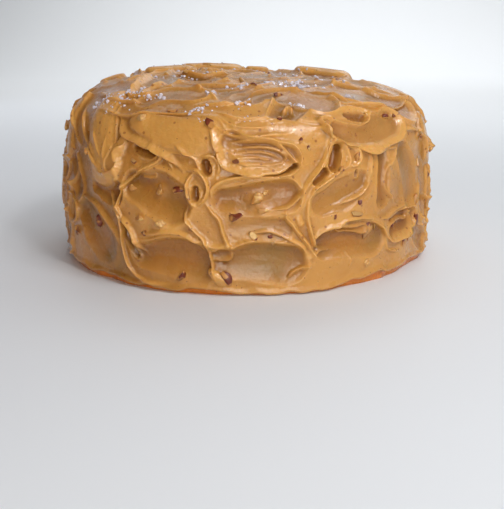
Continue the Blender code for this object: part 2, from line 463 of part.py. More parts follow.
class Frosting:
    """The worked frosting: its lift off the bare skin, and its slide along it."""

    def __init__(self, skin, normals):
        self.skin, self.normals = skin, normals
        self.lift = UNDULATION_HEIGHT * lattice_noise(skin, UNDULATION_SIZE, SEED + 1)
        self.lift += RIPPLE_HEIGHT * lattice_noise(skin, RIPPLE_SIZE, SEED + 2)
        self.slide = np.zeros_like(skin)
        self.wander = sum(
            reach * lattice_noise(skin, size, SEED + 20 + i)
            for i, (size, reach) in enumerate(zip(WANDER_SIZES, WANDER_REACHES))
        )
        self.vigour = 1 + 0.35 * lattice_noise(skin, 0.011, SEED + 23)

    def swipe(self, stroke, on_top):
        """Flattens what lies under the swipe, gives it a curved floor and raises its crests."""
        half_width, depth = stroke.half_width * MM, stroke.depth * MM
        near, share, distance, away, heading = along_path(self.skin, stroke.path, on_top, half_width + 0.010)
        left = (np.cross(self.normals[near], heading) * away).sum(1)
        width = half_width * (0.72 + 0.28 * smooth(0, 0.5, share))
        distance = np.maximum(distance + self.wander[near], 0)
        across = distance / width
        inside = 1 - smooth(0.80, 1.0, across)
        edge = np.minimum(across, 1)
        if depth < 0:
            floor = -depth * (1 - edge**4)
        else:
            deeper_above = 0 if on_top else 0.55 * away[:, 2] * across
            floor = -depth * (1 - edge**2) * (1 + deeper_above)
        self.lift[near] += inside * (floor - 0.88 * self.lift[near])
        self.slide[near] *= 1 - inside[:, None]
        side = 0.5 + 0.5 * np.tanh(left * 3)
        height = (stroke.left * side + stroke.right * (1 - side)) * MM * smooth(-0.3, 0.4, share)
        ending = smooth(0.86, 1.0, share)
        height = height * (1 - ending) + stroke.lip * MM * ending
        crest = height * self.vigour[near] * crest_shape(distance - width, CREST_INNER, CREST_OUTER)
        crest *= 1 - smooth(*CREST_ROOM, self.lift[near])
        self.lift[near] += crest
        self.slide[near] += (stroke.lean * crest)[:, None] * away

    def ridge(self, stroke, on_top):
        """Raises one thin crest, tapered at both ends, folded over to one side."""
        near, share, distance, away, heading = along_path(self.skin, stroke.path, on_top, 0.010)
        sideways = np.cross(self.normals[near], heading)
        left = distance * (sideways * away).sum(1)
        past_end = np.sqrt(np.maximum(distance**2 - left**2, 0))
        left = left + 0.5 * self.wander[near]
        ends = smooth(0, 0.22, share) * smooth(0, 0.22, 1 - share)
        half_width = ROPE_WIDTH * stroke.half_width * MM * (0.6 + 0.4 * ends)
        rope = np.sqrt(np.clip(1 - (left / half_width) ** 2, 0, 1))
        foot = np.exp(-np.abs(left) / half_width)
        capped = np.exp(-((past_end / 0.0015) ** 2))
        ridge = ROPE_HEIGHT * stroke.height * MM * (0.15 + 0.85 * ends) * self.vigour[near] * capped
        ridge *= ROPE_SHARE * rope + (1 - ROPE_SHARE) * foot
        ridge *= 1 - 0.7 * smooth(0.003, 0.006, self.lift[near])
        signed = left if stroke.lean > 0 else -left
        lower = np.exp(-np.maximum(signed, 0) / 0.004) * smooth(-0.0005, 0.0008, signed)
        self.lift[near] += ridge - stroke.drop * MM * ends * lower * np.exp(-((past_end / 0.004) ** 2))
        self.slide[near] += (stroke.lean * ridge)[:, None] * sideways

    def placed(self):
        """The skin's points, moved to the worked frosting. At the bottom the frosting ends in a
        wavy lip, and the caramel under it is drawn in."""
        round_foot = self.skin * (1, 1, 0)
        height = self.skin[:, 2]
        aside = np.abs(self.skin[:, 0]) / BASE_RADIUS
        lip = LIP_RISE + LIP_SPREAD * smooth(0.25, 0.75, aside)
        lip = lip + sum(
            rise * lattice_noise(round_foot, size, SEED + 4 + i) for i, (size, rise) in enumerate(LIP_WAVES)
        )
        under = 1 - smooth(-0.0006, 0.0006, height - lip)
        bulge = LIP_REACH * np.exp(-(((height - lip - 0.0014) / 0.0016) ** 2))
        skirt = SKIRT_REACH + sum(
            reach * lattice_noise(round_foot, size, SEED + 30 + i) for i, (size, reach) in enumerate(SKIRT_WAVES)
        )
        near_foot = 1 - smooth(0.002, 0.012, height)
        lift = self.lift * (1 - 0.6 * near_foot) + skirt * near_foot + bulge - TUCK * under
        points = self.skin + self.normals * lift[:, None] + self.slide * (1 - near_foot)[:, None]
        points[:, 2] = np.maximum(points[:, 2], 0)
        points[height <= 0, 2] = 0
        return settled(points)


def uneven_crests(rng):
    """Heights of the left, right and end crests, high on one side only."""
    strong, weak = rng.uniform(1.2, 2.4), rng.uniform(0, 0.6)
    sides = (strong, weak) if rng.random() < 0.5 else (weak, strong)
    return (*sides, rng.uniform(0.3, 1.8))


def random_side_swipes(rng):
    """Swipes in a jittered grid round the side, but for the front, which has its own."""
    made = []
    for row in SIDE_SWIPE_ROWS:
        for column in range(SIDE_SWIPE_COLUMNS):
            angle = (column + rng.uniform(-0.4, 0.4)) * 360 / SIDE_SWIPE_COLUMNS
            heading = rng.uniform(-70, 70) + (180 if rng.random() < 0.4 else 0)
            length = rng.uniform(16, 34)
            turn = math.degrees(length * math.cos(math.radians(heading)) * MM / WIDEST_RADIUS)
            climb = length * math.sin(math.radians(heading))
            middle = row + rng.uniform(-5, 5)
            begin = (angle - turn / 2, min(max(middle - climb / 2, 6), 94))
            finish = (angle + turn / 2, min(max(middle + climb / 2, 6), 94))
            bend = (angle + rng.uniform(-3, 3), min(max(middle + rng.uniform(-5, 5), 6), 94))
            made.append(
                Swipe([begin, bend, finish], rng.uniform(8, 13), rng.uniform(1.0, 2.6),
                      *uneven_crests(rng), rng.uniform(0.1, 0.4))
            )
    made = [made[i] for i in rng.permutation(len(made))]
    return [swipe for swipe in made if FRONT_HALF_TURN < swipe.path[1][0] < 360 - FRONT_HALF_TURN]


def random_top_swipes(rng):
    """Overlapping swipes spread over the whole top by the sunflower rule, each with a random turn."""
    made = []
    for i in range(TOP_SWIPE_COUNT):
        radius = 92 * math.sqrt((i + 0.5) / TOP_SWIPE_COUNT)
        angle = i * math.pi * (3 - math.sqrt(5)) + rng.uniform(-0.3, 0.3)
        heading = angle + math.pi / 2 + rng.uniform(-0.9, 0.9)
        length = rng.uniform(26, 48) / 2
        x, y = radius * math.cos(angle), radius * math.sin(angle)
        dx, dy = length * math.cos(heading), length * math.sin(heading)
        bend = (x + rng.uniform(-6, 6), y + rng.uniform(-6, 6))
        made.append(
            Swipe([(x - dx, y - dy), bend, (x + dx, y + dy)], rng.uniform(9, 15), rng.uniform(0.8, 2.2),
                  *uneven_crests(rng), rng.uniform(0.1, 0.5))
        )
    return [made[i] for i in rng.permutation(len(made))]


def random_shoulder_swipes(rng):
    """Swipes drawn up over the shoulder and onto the top, behind the front."""
    made = []
    for angle in np.arange(FRONT_HALF_TURN + 10, 360 - FRONT_HALF_TURN, 19):
        begin, turn, low = angle + rng.uniform(-6, 6), rng.uniform(-14, 14), rng.uniform(76, 86)
        middle = (begin + turn * rng.uniform(0.3, 0.7), low + 10)
        path = [(begin, low), middle, (begin + turn, low + rng.uniform(17, 25))]
        wide, deep = rng.uniform(7, 11), rng.uniform(1.0, 2.2)
        made.append(Swipe(path, wide, deep, *uneven_crests(rng), rng.uniform(0.1, 0.4)))
    return made


def random_back_ridges(rng):
    """Loose ridges between the swipes, away from the front: most run down, some across."""
    made = []
    for _ in range(BACK_RIDGES):
        angle = rng.uniform(FRONT_EDGE, 360 - FRONT_EDGE)
        rise = rng.uniform(12, 88)
        across, up = rng.uniform(-7, 7), rng.uniform(8, 22) * (1 if rng.random() < 0.5 else -1)
        swing = rng.uniform(-4, 4)
        path = [
            (angle - across, min(max(rise - up, 5), 100)),
            (angle + swing, rise),
            (angle + across, min(max(rise + up, 5), 100)),
        ]
        made.append(
            Ridge(path, rng.uniform(1.2, 2.4), rng.uniform(-0.8, 0.8), rng.uniform(0, 0.7), rng.uniform(1.1, 1.8))
        )
    return made


def frosted(skin, normals):
    """Where each point of the bare skin ends up once the frosting has been worked over it."""
    frosting = Frosting(skin, normals)
    rng = np.random.default_rng(SEED)
    layers = [
        (random_side_swipes(rng), frosting.swipe, False),
        (random_top_swipes(rng), frosting.swipe, True),
        (random_shoulder_swipes(np.random.default_rng(SEED + 13)), frosting.swipe, False),
        (random_back_ridges(rng), frosting.ridge, False),
        (FRONT_SCOOPS, frosting.swipe, False),
        (TOP_SWIPES, frosting.swipe, True),
        (FRONT_TONGUES, frosting.swipe, False),
        (FRONT_POCKETS, frosting.swipe, False),
        (TOP_RIDGES, frosting.ridge, True),
        (FRONT_RIDGES, frosting.ridge, False),
    ]
    for strokes, work, on_top in layers:
        for stroke in strokes:
            work(stroke, on_top)
    return frosting.placed()


# Blender objects

def plain_material(name, colour, roughness):
    material = bpy.data.materials.new(name)
    material.use_nodes = True
    shader = material.node_tree.nodes["Principled BSDF"]
    shader.inputs["Base Color"].default_value = (*colour, 1)
    shader.inputs["Roughness"].default_value = roughness
    shader.inputs["Metallic"].default_value = 0
    return material


def turned_body(collection):
    """The bare cake: its profile turned round Z by a Screw modifier, bottom included."""
    radius, height, _ = skin_profile(RISE_STEP)
    inner = np.linspace(0, BASE_RADIUS, 12, endpoint=False)
    points = [(r, 0, 0) for r in inner] + [(r, 0, z) for r, z in zip(radius, height)]
    points[-1] = (0, 0, CAKE_HEIGHT)
    points.reverse()
    mesh = bpy.data.meshes.new("frosted_cake")
    mesh.from_pydata(points, [(i, i + 1) for i in range(len(points) - 1)], [])
    body = bpy.data.objects.new("frosted_cake", mesh)
    collection.objects.link(body)
    screw = body.modifiers.new("turn", "SCREW")
    screw.steps = screw.render_steps = TURN_STEPS
    screw.use_merge_vertices = True
    screw.merge_threshold = 1e-5
    screw.use_smooth_shade = True
    return body


def apply_modifiers(body):
    """Makes the evaluated mesh the object's own."""
    bpy.context.view_layer.update()
    graph = bpy.context.evaluated_depsgraph_get()
    mesh = bpy.data.meshes.new_from_object(body.evaluated_get(graph))
    body.modifiers.clear()
    body.data = mesh


def work_frosting(body):
    """Moves the turned body's vertices to the worked frosting, and thins the triangles, which
    leaves most of them on the crests and few on the smooth floors."""
    count = len(body.data.vertices)
    points = np.empty(count * 3, np.float32)
    body.data.vertices.foreach_get("co", points)
    points = points.reshape(-1, 3).astype(float)
    outer = (points[:, 2] > 1e-6) | (np.hypot(points[:, 0], points[:, 1]) > BASE_RADIUS - 1e-5)
    turn = np.degrees(np.arctan2(points[outer, 0], -points[outer, 1]))
    skin, normals = skin_at(np.column_stack([turn, rises(points[outer]) / MM]), False)
    points[outer] = frosted(skin, normals)
    points[~outer] += (FOOT_SHIFT, 0, 0)
    body.data.vertices.foreach_set("co", points.astype(np.float32).ravel())
    body.data.update()
    thin = body.modifiers.new("thin", "DECIMATE")
    thin.ratio = FROSTING_TRIANGLES / sum(len(p.vertices) - 2 for p in body.data.polygons)
    thin.use_collapse_triangulate = True
    apply_modifiers(body)
    for vertex in body.data.vertices:
        if vertex.co.z < BASE_SNAP:
            vertex.co.z = 0


# Pecans and salt

def all_nuts(rng):
    """Every nut with whether its place is on the top: those placed by hand, then random ones."""
    made = [(nut, False) for nut in FRONT_NUTS]
    for i in range(BACK_NUTS):
        spread = (i + rng.uniform(0.1, 0.9)) / BACK_NUTS
        angle = FRONT_EDGE + 8 + (360 - 2 * FRONT_EDGE - 16) * spread
        length = rng.uniform(4, 9)
        nut = Nut((angle, rng.uniform(8, 92)), length, length * rng.uniform(0.45, 0.7),
                  rng.uniform(-90, 90), rng.uniform(0.1, 0.3), int(rng.random() < 0.3))
        made.append((nut, False))
    for i in range(TOP_NUTS):
        radius, angle = 84 * math.sqrt((i + 0.5) / TOP_NUTS), i * 2.4 + rng.uniform(-0.4, 0.4)
        length = rng.uniform(3.5, 7.5)
        place = (radius * math.cos(angle), radius * math.sin(angle))
        nut = Nut(place, length, length * 0.6, rng.uniform(-90, 90), 0.25, int(rng.random() < 0.25))
        made.append((nut, True))
    return made


def surface_under(surface, place, on_top):
    """The frosting's point and facing at a place, by a ray towards the cake, and the bare skin's
    normal there."""
    point, normal = skin_at(place, on_top)
    normal = Vector(normal[0])
    start = Vector(settled(point)[0]) + normal * 0.03
    hit, facing, _, _ = surface.ray_cast(start, -normal)
    return hit, facing, normal


def add_piece(collection, shape, place, size, axes):
    """One topping piece: a primitive with its size, its three axes and its place in its mesh."""
    mesh = bpy.data.meshes.new(shape)
    data = bmesh.new()
    if shape == "pecan":
        bmesh.ops.create_icosphere(data, subdivisions=1, radius=0.5)
    else:
        bmesh.ops.create_cube(data, size=1.0)
    placing = Matrix.Translation(place) @ Matrix(axes).transposed().to_4x4() @ Matrix.Diagonal((*size, 1))
    bmesh.ops.transform(data, matrix=placing, verts=data.verts)
    data.to_mesh(mesh)
    data.free()
    piece = bpy.data.objects.new(shape, mesh)
    collection.objects.link(piece)


def add_nut(collection, surface, nut, on_top):
    """A pecan piece sunk into the frosting, its length turned from level."""
    hit, _, normal = surface_under(surface, nut.place, on_top)
    if hit is None:
        return
    level = Vector((1, 0, 0)) if on_top else Vector((0, 0, 1)).cross(normal)
    ahead = Matrix.Rotation(math.radians(nut.turn), 3, normal) @ level.normalized()
    axes = (ahead, normal.cross(ahead), normal)
    size = (nut.length * MM, nut.width * MM, nut.width * 0.8 * MM)
    centre = hit + normal * (nut.stand - 0.38) * size[2]
    add_piece(collection, "pecan", centre, size, axes)


def add_toppings(body, helpers):
    """Pecan pieces and salt flakes, joined to the frosting by one Boolean union."""
    surface = BVHTree.FromPolygons(
        [v.co for v in body.data.vertices], [tuple(p.vertices) for p in body.data.polygons]
    )
    for nut, on_top in all_nuts(np.random.default_rng(SEED + 7)):
        add_nut(helpers, surface, nut, on_top)
    rng = np.random.default_rng(SEED + 11)
    for x, y, spread, count in SALT_CLUSTERS:
        for _ in range(max(count // SALT_SHARE, 1)):
            place = (x + rng.normal(0, spread / 2), y + rng.normal(0, spread / 2.6))
            size, spin = rng.uniform(*SALT_SIZE) * MM, rng.uniform(0, 2 * math.pi)
            hit, facing, _ = surface_under(surface, place, True)
            if hit is None:
                continue
            turn = facing.to_track_quat("Z", "X").to_matrix() @ Matrix.Rotation(spin, 3, "Z")
            flake = (size, size * rng.uniform(0.6, 1.0), size * SALT_THICKNESS)
            add_piece(helpers, "salt", hit, flake, turn.transposed())
    union = body.modifiers.new("toppings", "BOOLEAN")
    union.operation = "UNION"
    union.operand_type = "COLLECTION"
    union.collection = helpers
    union.solver = "MANIFOLD"
    apply_modifiers(body)
    for piece in list(helpers.objects):
        bpy.data.objects.remove(piece)
    bpy.data.collections.remove(helpers)


def main():
    for obj in list(bpy.data.objects):
        bpy.data.objects.remove(obj)
    cake = bpy.data.collections.new("salted_caramel_layer_cake")
    helpers = bpy.data.collections.new("toppings")
    bpy.context.scene.collection.children.link(cake)
    bpy.context.scene.collection.children.link(helpers)
    body = turned_body(cake)
    apply_modifiers(body)
    work_frosting(body)
    add_toppings(body, helpers)
    body.data.materials.clear()
    body.data.materials.append(plain_material("caramel_frosting", (0.50, 0.27, 0.09), 0.38))
    body.data.shade_smooth()


main()
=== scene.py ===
"""The looks of a salted caramel layer cake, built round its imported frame.

The frosting is one surface worked out on a grid: a turned skin, with every swipe of the spatula
and every ridge it leaves worked into it in order. Pecan pieces and salt flakes are set on it.

Lengths are in metres. The recipe lists are in millimetres and degrees, and MM turns them into
metres. An angle is counted round the cake from its front, -Y, towards +X. A rise is the distance
over the skin from the bottom edge, up the side and over the shoulder.
"""

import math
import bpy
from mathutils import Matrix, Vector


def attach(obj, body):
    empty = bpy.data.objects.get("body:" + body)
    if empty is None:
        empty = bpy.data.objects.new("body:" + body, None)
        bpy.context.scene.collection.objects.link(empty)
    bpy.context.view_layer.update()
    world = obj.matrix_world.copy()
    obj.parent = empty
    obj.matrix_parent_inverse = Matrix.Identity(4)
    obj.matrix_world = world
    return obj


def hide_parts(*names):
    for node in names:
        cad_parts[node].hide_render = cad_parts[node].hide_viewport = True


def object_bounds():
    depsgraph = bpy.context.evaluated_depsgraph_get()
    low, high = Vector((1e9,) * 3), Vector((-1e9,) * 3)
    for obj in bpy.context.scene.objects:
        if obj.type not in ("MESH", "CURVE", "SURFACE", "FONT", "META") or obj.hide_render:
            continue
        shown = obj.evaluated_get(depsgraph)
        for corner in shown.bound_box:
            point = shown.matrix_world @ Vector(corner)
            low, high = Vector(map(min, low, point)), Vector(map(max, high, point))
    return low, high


bl_info = {
    "name": "Salted Caramel Layer Cake",
    "version": (1, 0, 0),
    "blender": (4, 5, 0),
    "location": "View3D > Sidebar > Cake",
    "description": "Dresses the frame of a caramel layer cake with frosting, pecans and salt",
    "category": "Object",
}

from collections import namedtuple

import bpy
import numpy as np
from mathutils import Matrix, Vector
from mathutils.bvhtree import BVHTree

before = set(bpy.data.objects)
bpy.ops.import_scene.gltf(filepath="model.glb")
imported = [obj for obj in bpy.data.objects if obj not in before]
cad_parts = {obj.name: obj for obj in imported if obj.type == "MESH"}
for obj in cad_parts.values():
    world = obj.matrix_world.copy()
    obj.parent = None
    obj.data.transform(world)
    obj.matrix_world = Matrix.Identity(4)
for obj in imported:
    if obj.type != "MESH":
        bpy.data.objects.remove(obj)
CAD_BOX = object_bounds()

MM = 0.001

# Body of the cake, as in the solid: a side that bulges a little, a shoulder and a low dome, and how
# the whole has slumped
BASE_RADIUS = 0.1150
WIDEST_RADIUS = 0.1168
WIDEST_HEIGHT = 0.028
SHOULDER_HEIGHT = 0.078
SIDE_TAPER = 0.0045
CAKE_HEIGHT = 0.1095
SHOULDER_POWER = 3.4
LEAN = 0.0035
TOP_TILT = 0.045
FOOT_SHIFT = 0.0015
FOOT_HEIGHT = 0.020

# Bottom edge: how far the frosting's skirt stands out, and the bulging lip it ends in, which rises
# by LIP_SPREAD more at the sides. Waves are (size, reach). Under the lip bare caramel is tucked in.
SKIRT_REACH = 0.0004
SKIRT_WAVES = ((0.021, 0.0016), (0.0075, 0.0007))
LIP_RISE = 0.0018
LIP_SPREAD = 0.0024
LIP_WAVES = ((0.015, 0.0017), (0.006, 0.0010))
LIP_REACH = 0.0013
LIP_EDGE = 0.0006
BULGE_RISE, BULGE_SIZE = 0.0014, 0.0016
TUCK = 0.0022
# Strokes fade out between these heights towards the foot
CALM_FOOT = (0.002, 0.012)

# Grid of the frosting, and the triangles kept once flat stretches are thinned
GRID_COLUMNS = 1280
GRID_RISE_STEP = 0.00046
FRONT_CROWDING = 0.42
HOLLOW_STEPS = 8
# How far outside the skin a ray starts that looks for the frosting
RAY_START = 0.03
FROSTING_TRIANGLES = 196000

# Shape of the swipes, their crests and streaks. A swipe starts narrower, flattens most of what
# lies under it, and scoops deeper towards its upper side.
SWIPE_REACH = 0.010
SWIPE_START_WIDTH = 0.72
SWIPE_WEIGHT = 0.88
UPPER_SCOOP = 0.55
CREST_CORE = 0.0004
CREST_INNER = 0.0015
CREST_OUTER = 0.0010
CREST_ROOM = (0.0008, 0.0040)
VIGOUR_SIZE = 0.011
VIGOUR_REACH = 0.35
STREAK_WIDTH = 0.0017
STREAK_HEIGHT = 0.00010
STREAK_COUNT = 512

# Shape of the ridges: a round rope on a wider foot, with how far its ends and its drop reach
ROPE_SHARE = 0.66
ROPE_WIDTH = 0.82
ROPE_HEIGHT = 1.15
ROPE_TIP = 0.22
ROPE_CAP = 0.0015
DROP_REACH = 0.004
RIDGE_ROOM = (0.003, 0.006)

# Unevenness of the frosting and of the strokes' edges
WANDER_WAVES = ((0.016, 0.0011), (0.006, 0.0004))
PATH_POINTS = 20
UNDULATION_SIZE = 0.045
UNDULATION_HEIGHT = 0.0016
RIPPLE_SIZE = 0.013
RIPPLE_HEIGHT = 0.0007
# Cells of the noise to each side before it repeats
LATTICE = 24
# The front, up to this many degrees to each side, has only the listed strokes
FRONT_HALF_TURN = 66
SEED = 41

# path is a curve through its points, (degrees, rise) on the side or (x, y) on the top. depth is
# positive for a scoop and negative for a raised tongue. left, right and lip are the heights of the
# crests on its two edges and round its end, and lean is how far they fold outwards.
Swipe = namedtuple("Swipe", "path half_width depth left right lip lean")
# A ridge is a rope of frosting half_width to each side of its path. It folds over to the left of
# the path where lean is positive, to the right where it is negative. drop makes the frosting on
# that side lower, as at the edge of a thicker layer.
Ridge = namedtuple("Ridge", "path height half_width lean drop", defaults=(0, 0))
# A pecan piece: place, length, width, the turn of its length from level, how far it stands out of
# the frosting, and whether it is all but covered by it.
Nut = namedtuple("Nut", "place length width turn stand coated", defaults=(0,))

FRONT_SCOOPS = [
    Swipe([(-53, 37), (-49, 30), (-44, 20)], 13, 3.4, 1.6, 0.6, 0.6, 0.5),
    Swipe([(-31, 57), (-25, 55), (-20, 51)], 13, 2.6, 1.3, 0.8, 0.6, 0.2),
    Swipe([(-29, 19), (-21, 20), (-13, 18)], 13, 3, 1.2, 0.3, 0.9, 0.2),
    Swipe([(-5, 18), (3, 20), (11, 17)], 12, 2.6, 1, 0.3, 0.8, 0.2),
    Swipe([(-6, 53), (2, 53), (10, 55)], 9.5, 2.6, 1.2, 0.6, 1.2, 0.2),
    Swipe([(-3, 38), (9, 37)], 7, 0.8, 0, 0.2, 0.2, 0),
    Swipe([(21, 50), (26, 53), (32, 57)], 10, 1.3, 0.2, 0.3, 0.4, 0.2),
    Swipe([(22, 26), (30, 28), (37, 27)], 11, 3.2, 1.2, 0.2, 0.6, 0.2),
    Swipe([(46, 28), (55, 32)], 6.5, 3.4, 1, 1.2, 1.6, 0.4),
    Swipe([(41, 73), (41, 47)], 6, 2.2, 0.4, 0.8, 0.3, 0),
    Swipe([(51, 72), (54, 60), (55, 47)], 10, 1.4, 0.7, 0.5, 0.9, 0.2),
    Swipe([(64, 60), (66, 34)], 8, 1.6, 0.7, 0.9, 0.8, 0.3),
    Swipe([(58, 22), (66, 12)], 7, 1.6, 0.9, 0.8, 0.6, 0.3),
    Swipe([(-47, 54), (-39, 52)], 8, 2.6, 0.3, 0.4, 0.6, 0),
    Swipe([(-66, 66), (-61, 60), (-58, 50)], 7, 2.2, 1.2, 0.6, 0.9, 0.3),
    Swipe([(-8, 23), (-5, 23.5)], 4, 1.4, 0, 0, 0.2, 0),
]

FRONT_TONGUES = [
    Swipe([(-49, 104), (-47, 84), (-44, 66)], 12, -2.6, 1.2, 0.9, 1.2, 0.8),
    Swipe([(-37, 80), (-40, 68)], 5, -2, 0.6, 0.8, 1, 0.6),
    Swipe([(-33, 92), (-23, 88), (-11, 86)], 9, -1.6, 0.4, 1.2, 0.5, 0.9),
    Swipe([(-1, 91), (9, 91), (19, 87)], 6.5, -1, 0.5, 0.4, 0.6, 0.2),
    Swipe([(26, 88), (36, 87), (46, 91)], 8, 1, 0.6, 1.4, 1.5, 0.6),
    Swipe([(-4, 84), (2, 78), (10, 74)], 7.5, 1.4, 1.1, 1.2, 1.6, 0.6),
    Swipe([(70, 88), (74, 66)], 9, -1.8, 0.5, 0.5, 0.9, 0.4),
    Swipe([(-86, 60), (-84, 38)], 10, -2.6, 0.5, 0.5, 1.2, 0.6),
    Swipe([(-70, 94), (-69, 72)], 8, -1.8, 0.6, 0.6, 1, 0.5),
    Swipe([(-9, 14), (-6.5, 9)], 3.5, -2.4, 0.3, 0.3, 0.6, 0.3),
]

FRONT_POCKETS = [
    Swipe([(-32, 78.2), (-27, 77)], 4.6, 3.2, 0.4, 1, 1, 0.4),
    Swipe([(-11, 72), (-10.5, 68)], 2.6, 3.2, 0.5, 0.6, 0.5, 0.1),
    Swipe([(-13.5, 58.5), (-13.4, 54)], 3, 2.6, 0.6, 0.6, 0.5, 0.1),
    Swipe([(24.8, 79), (23.8, 69.5)], 3.6, 3.8, 0.6, 0.6, 0.5, 0.3),
    Swipe([(18.2, 61.5), (21, 66.5)], 2.6, 3, 0.4, 0.4, 0.4, 0.2),
    Swipe([(-35, 35), (-33.5, 27), (-31, 19)], 2.6, 3, 0.4, 0.4, 0.6, 0.2),
    Swipe([(30.5, 96.8), (35, 95.2)], 3, 2, 0.5, 0.6, 0.8, 0.2),
    Swipe([(30.8, 65.5), (31, 62.8)], 1.8, 1.8, 0.8, 0.8, 0.7, 0),
    Swipe([(-62, 39.5), (-62.5, 32)], 2.8, 3.6, 0.6, 0.9, 0.8, 0.2),
    Swipe([(-28.5, 63.8), (-25.5, 64.2)], 1.5, 0.8, 0.6, 0.6, 0.6, 0),
    Swipe([(0, 67), (5, 67.2), (9, 68), (12.5, 70.5)], 2, 3.4, 0, 0.5, 0.2, 0),
    Swipe([(44.5, 33.5), (49, 35), (52.5, 34.5)], 3, 2.6, 0.3, 0.4, 0.6, 0.4),
    Swipe([(26, 35), (30, 34.8), (34, 33)], 3, 1.6, 0, 0.2, 0.2, 0),
]

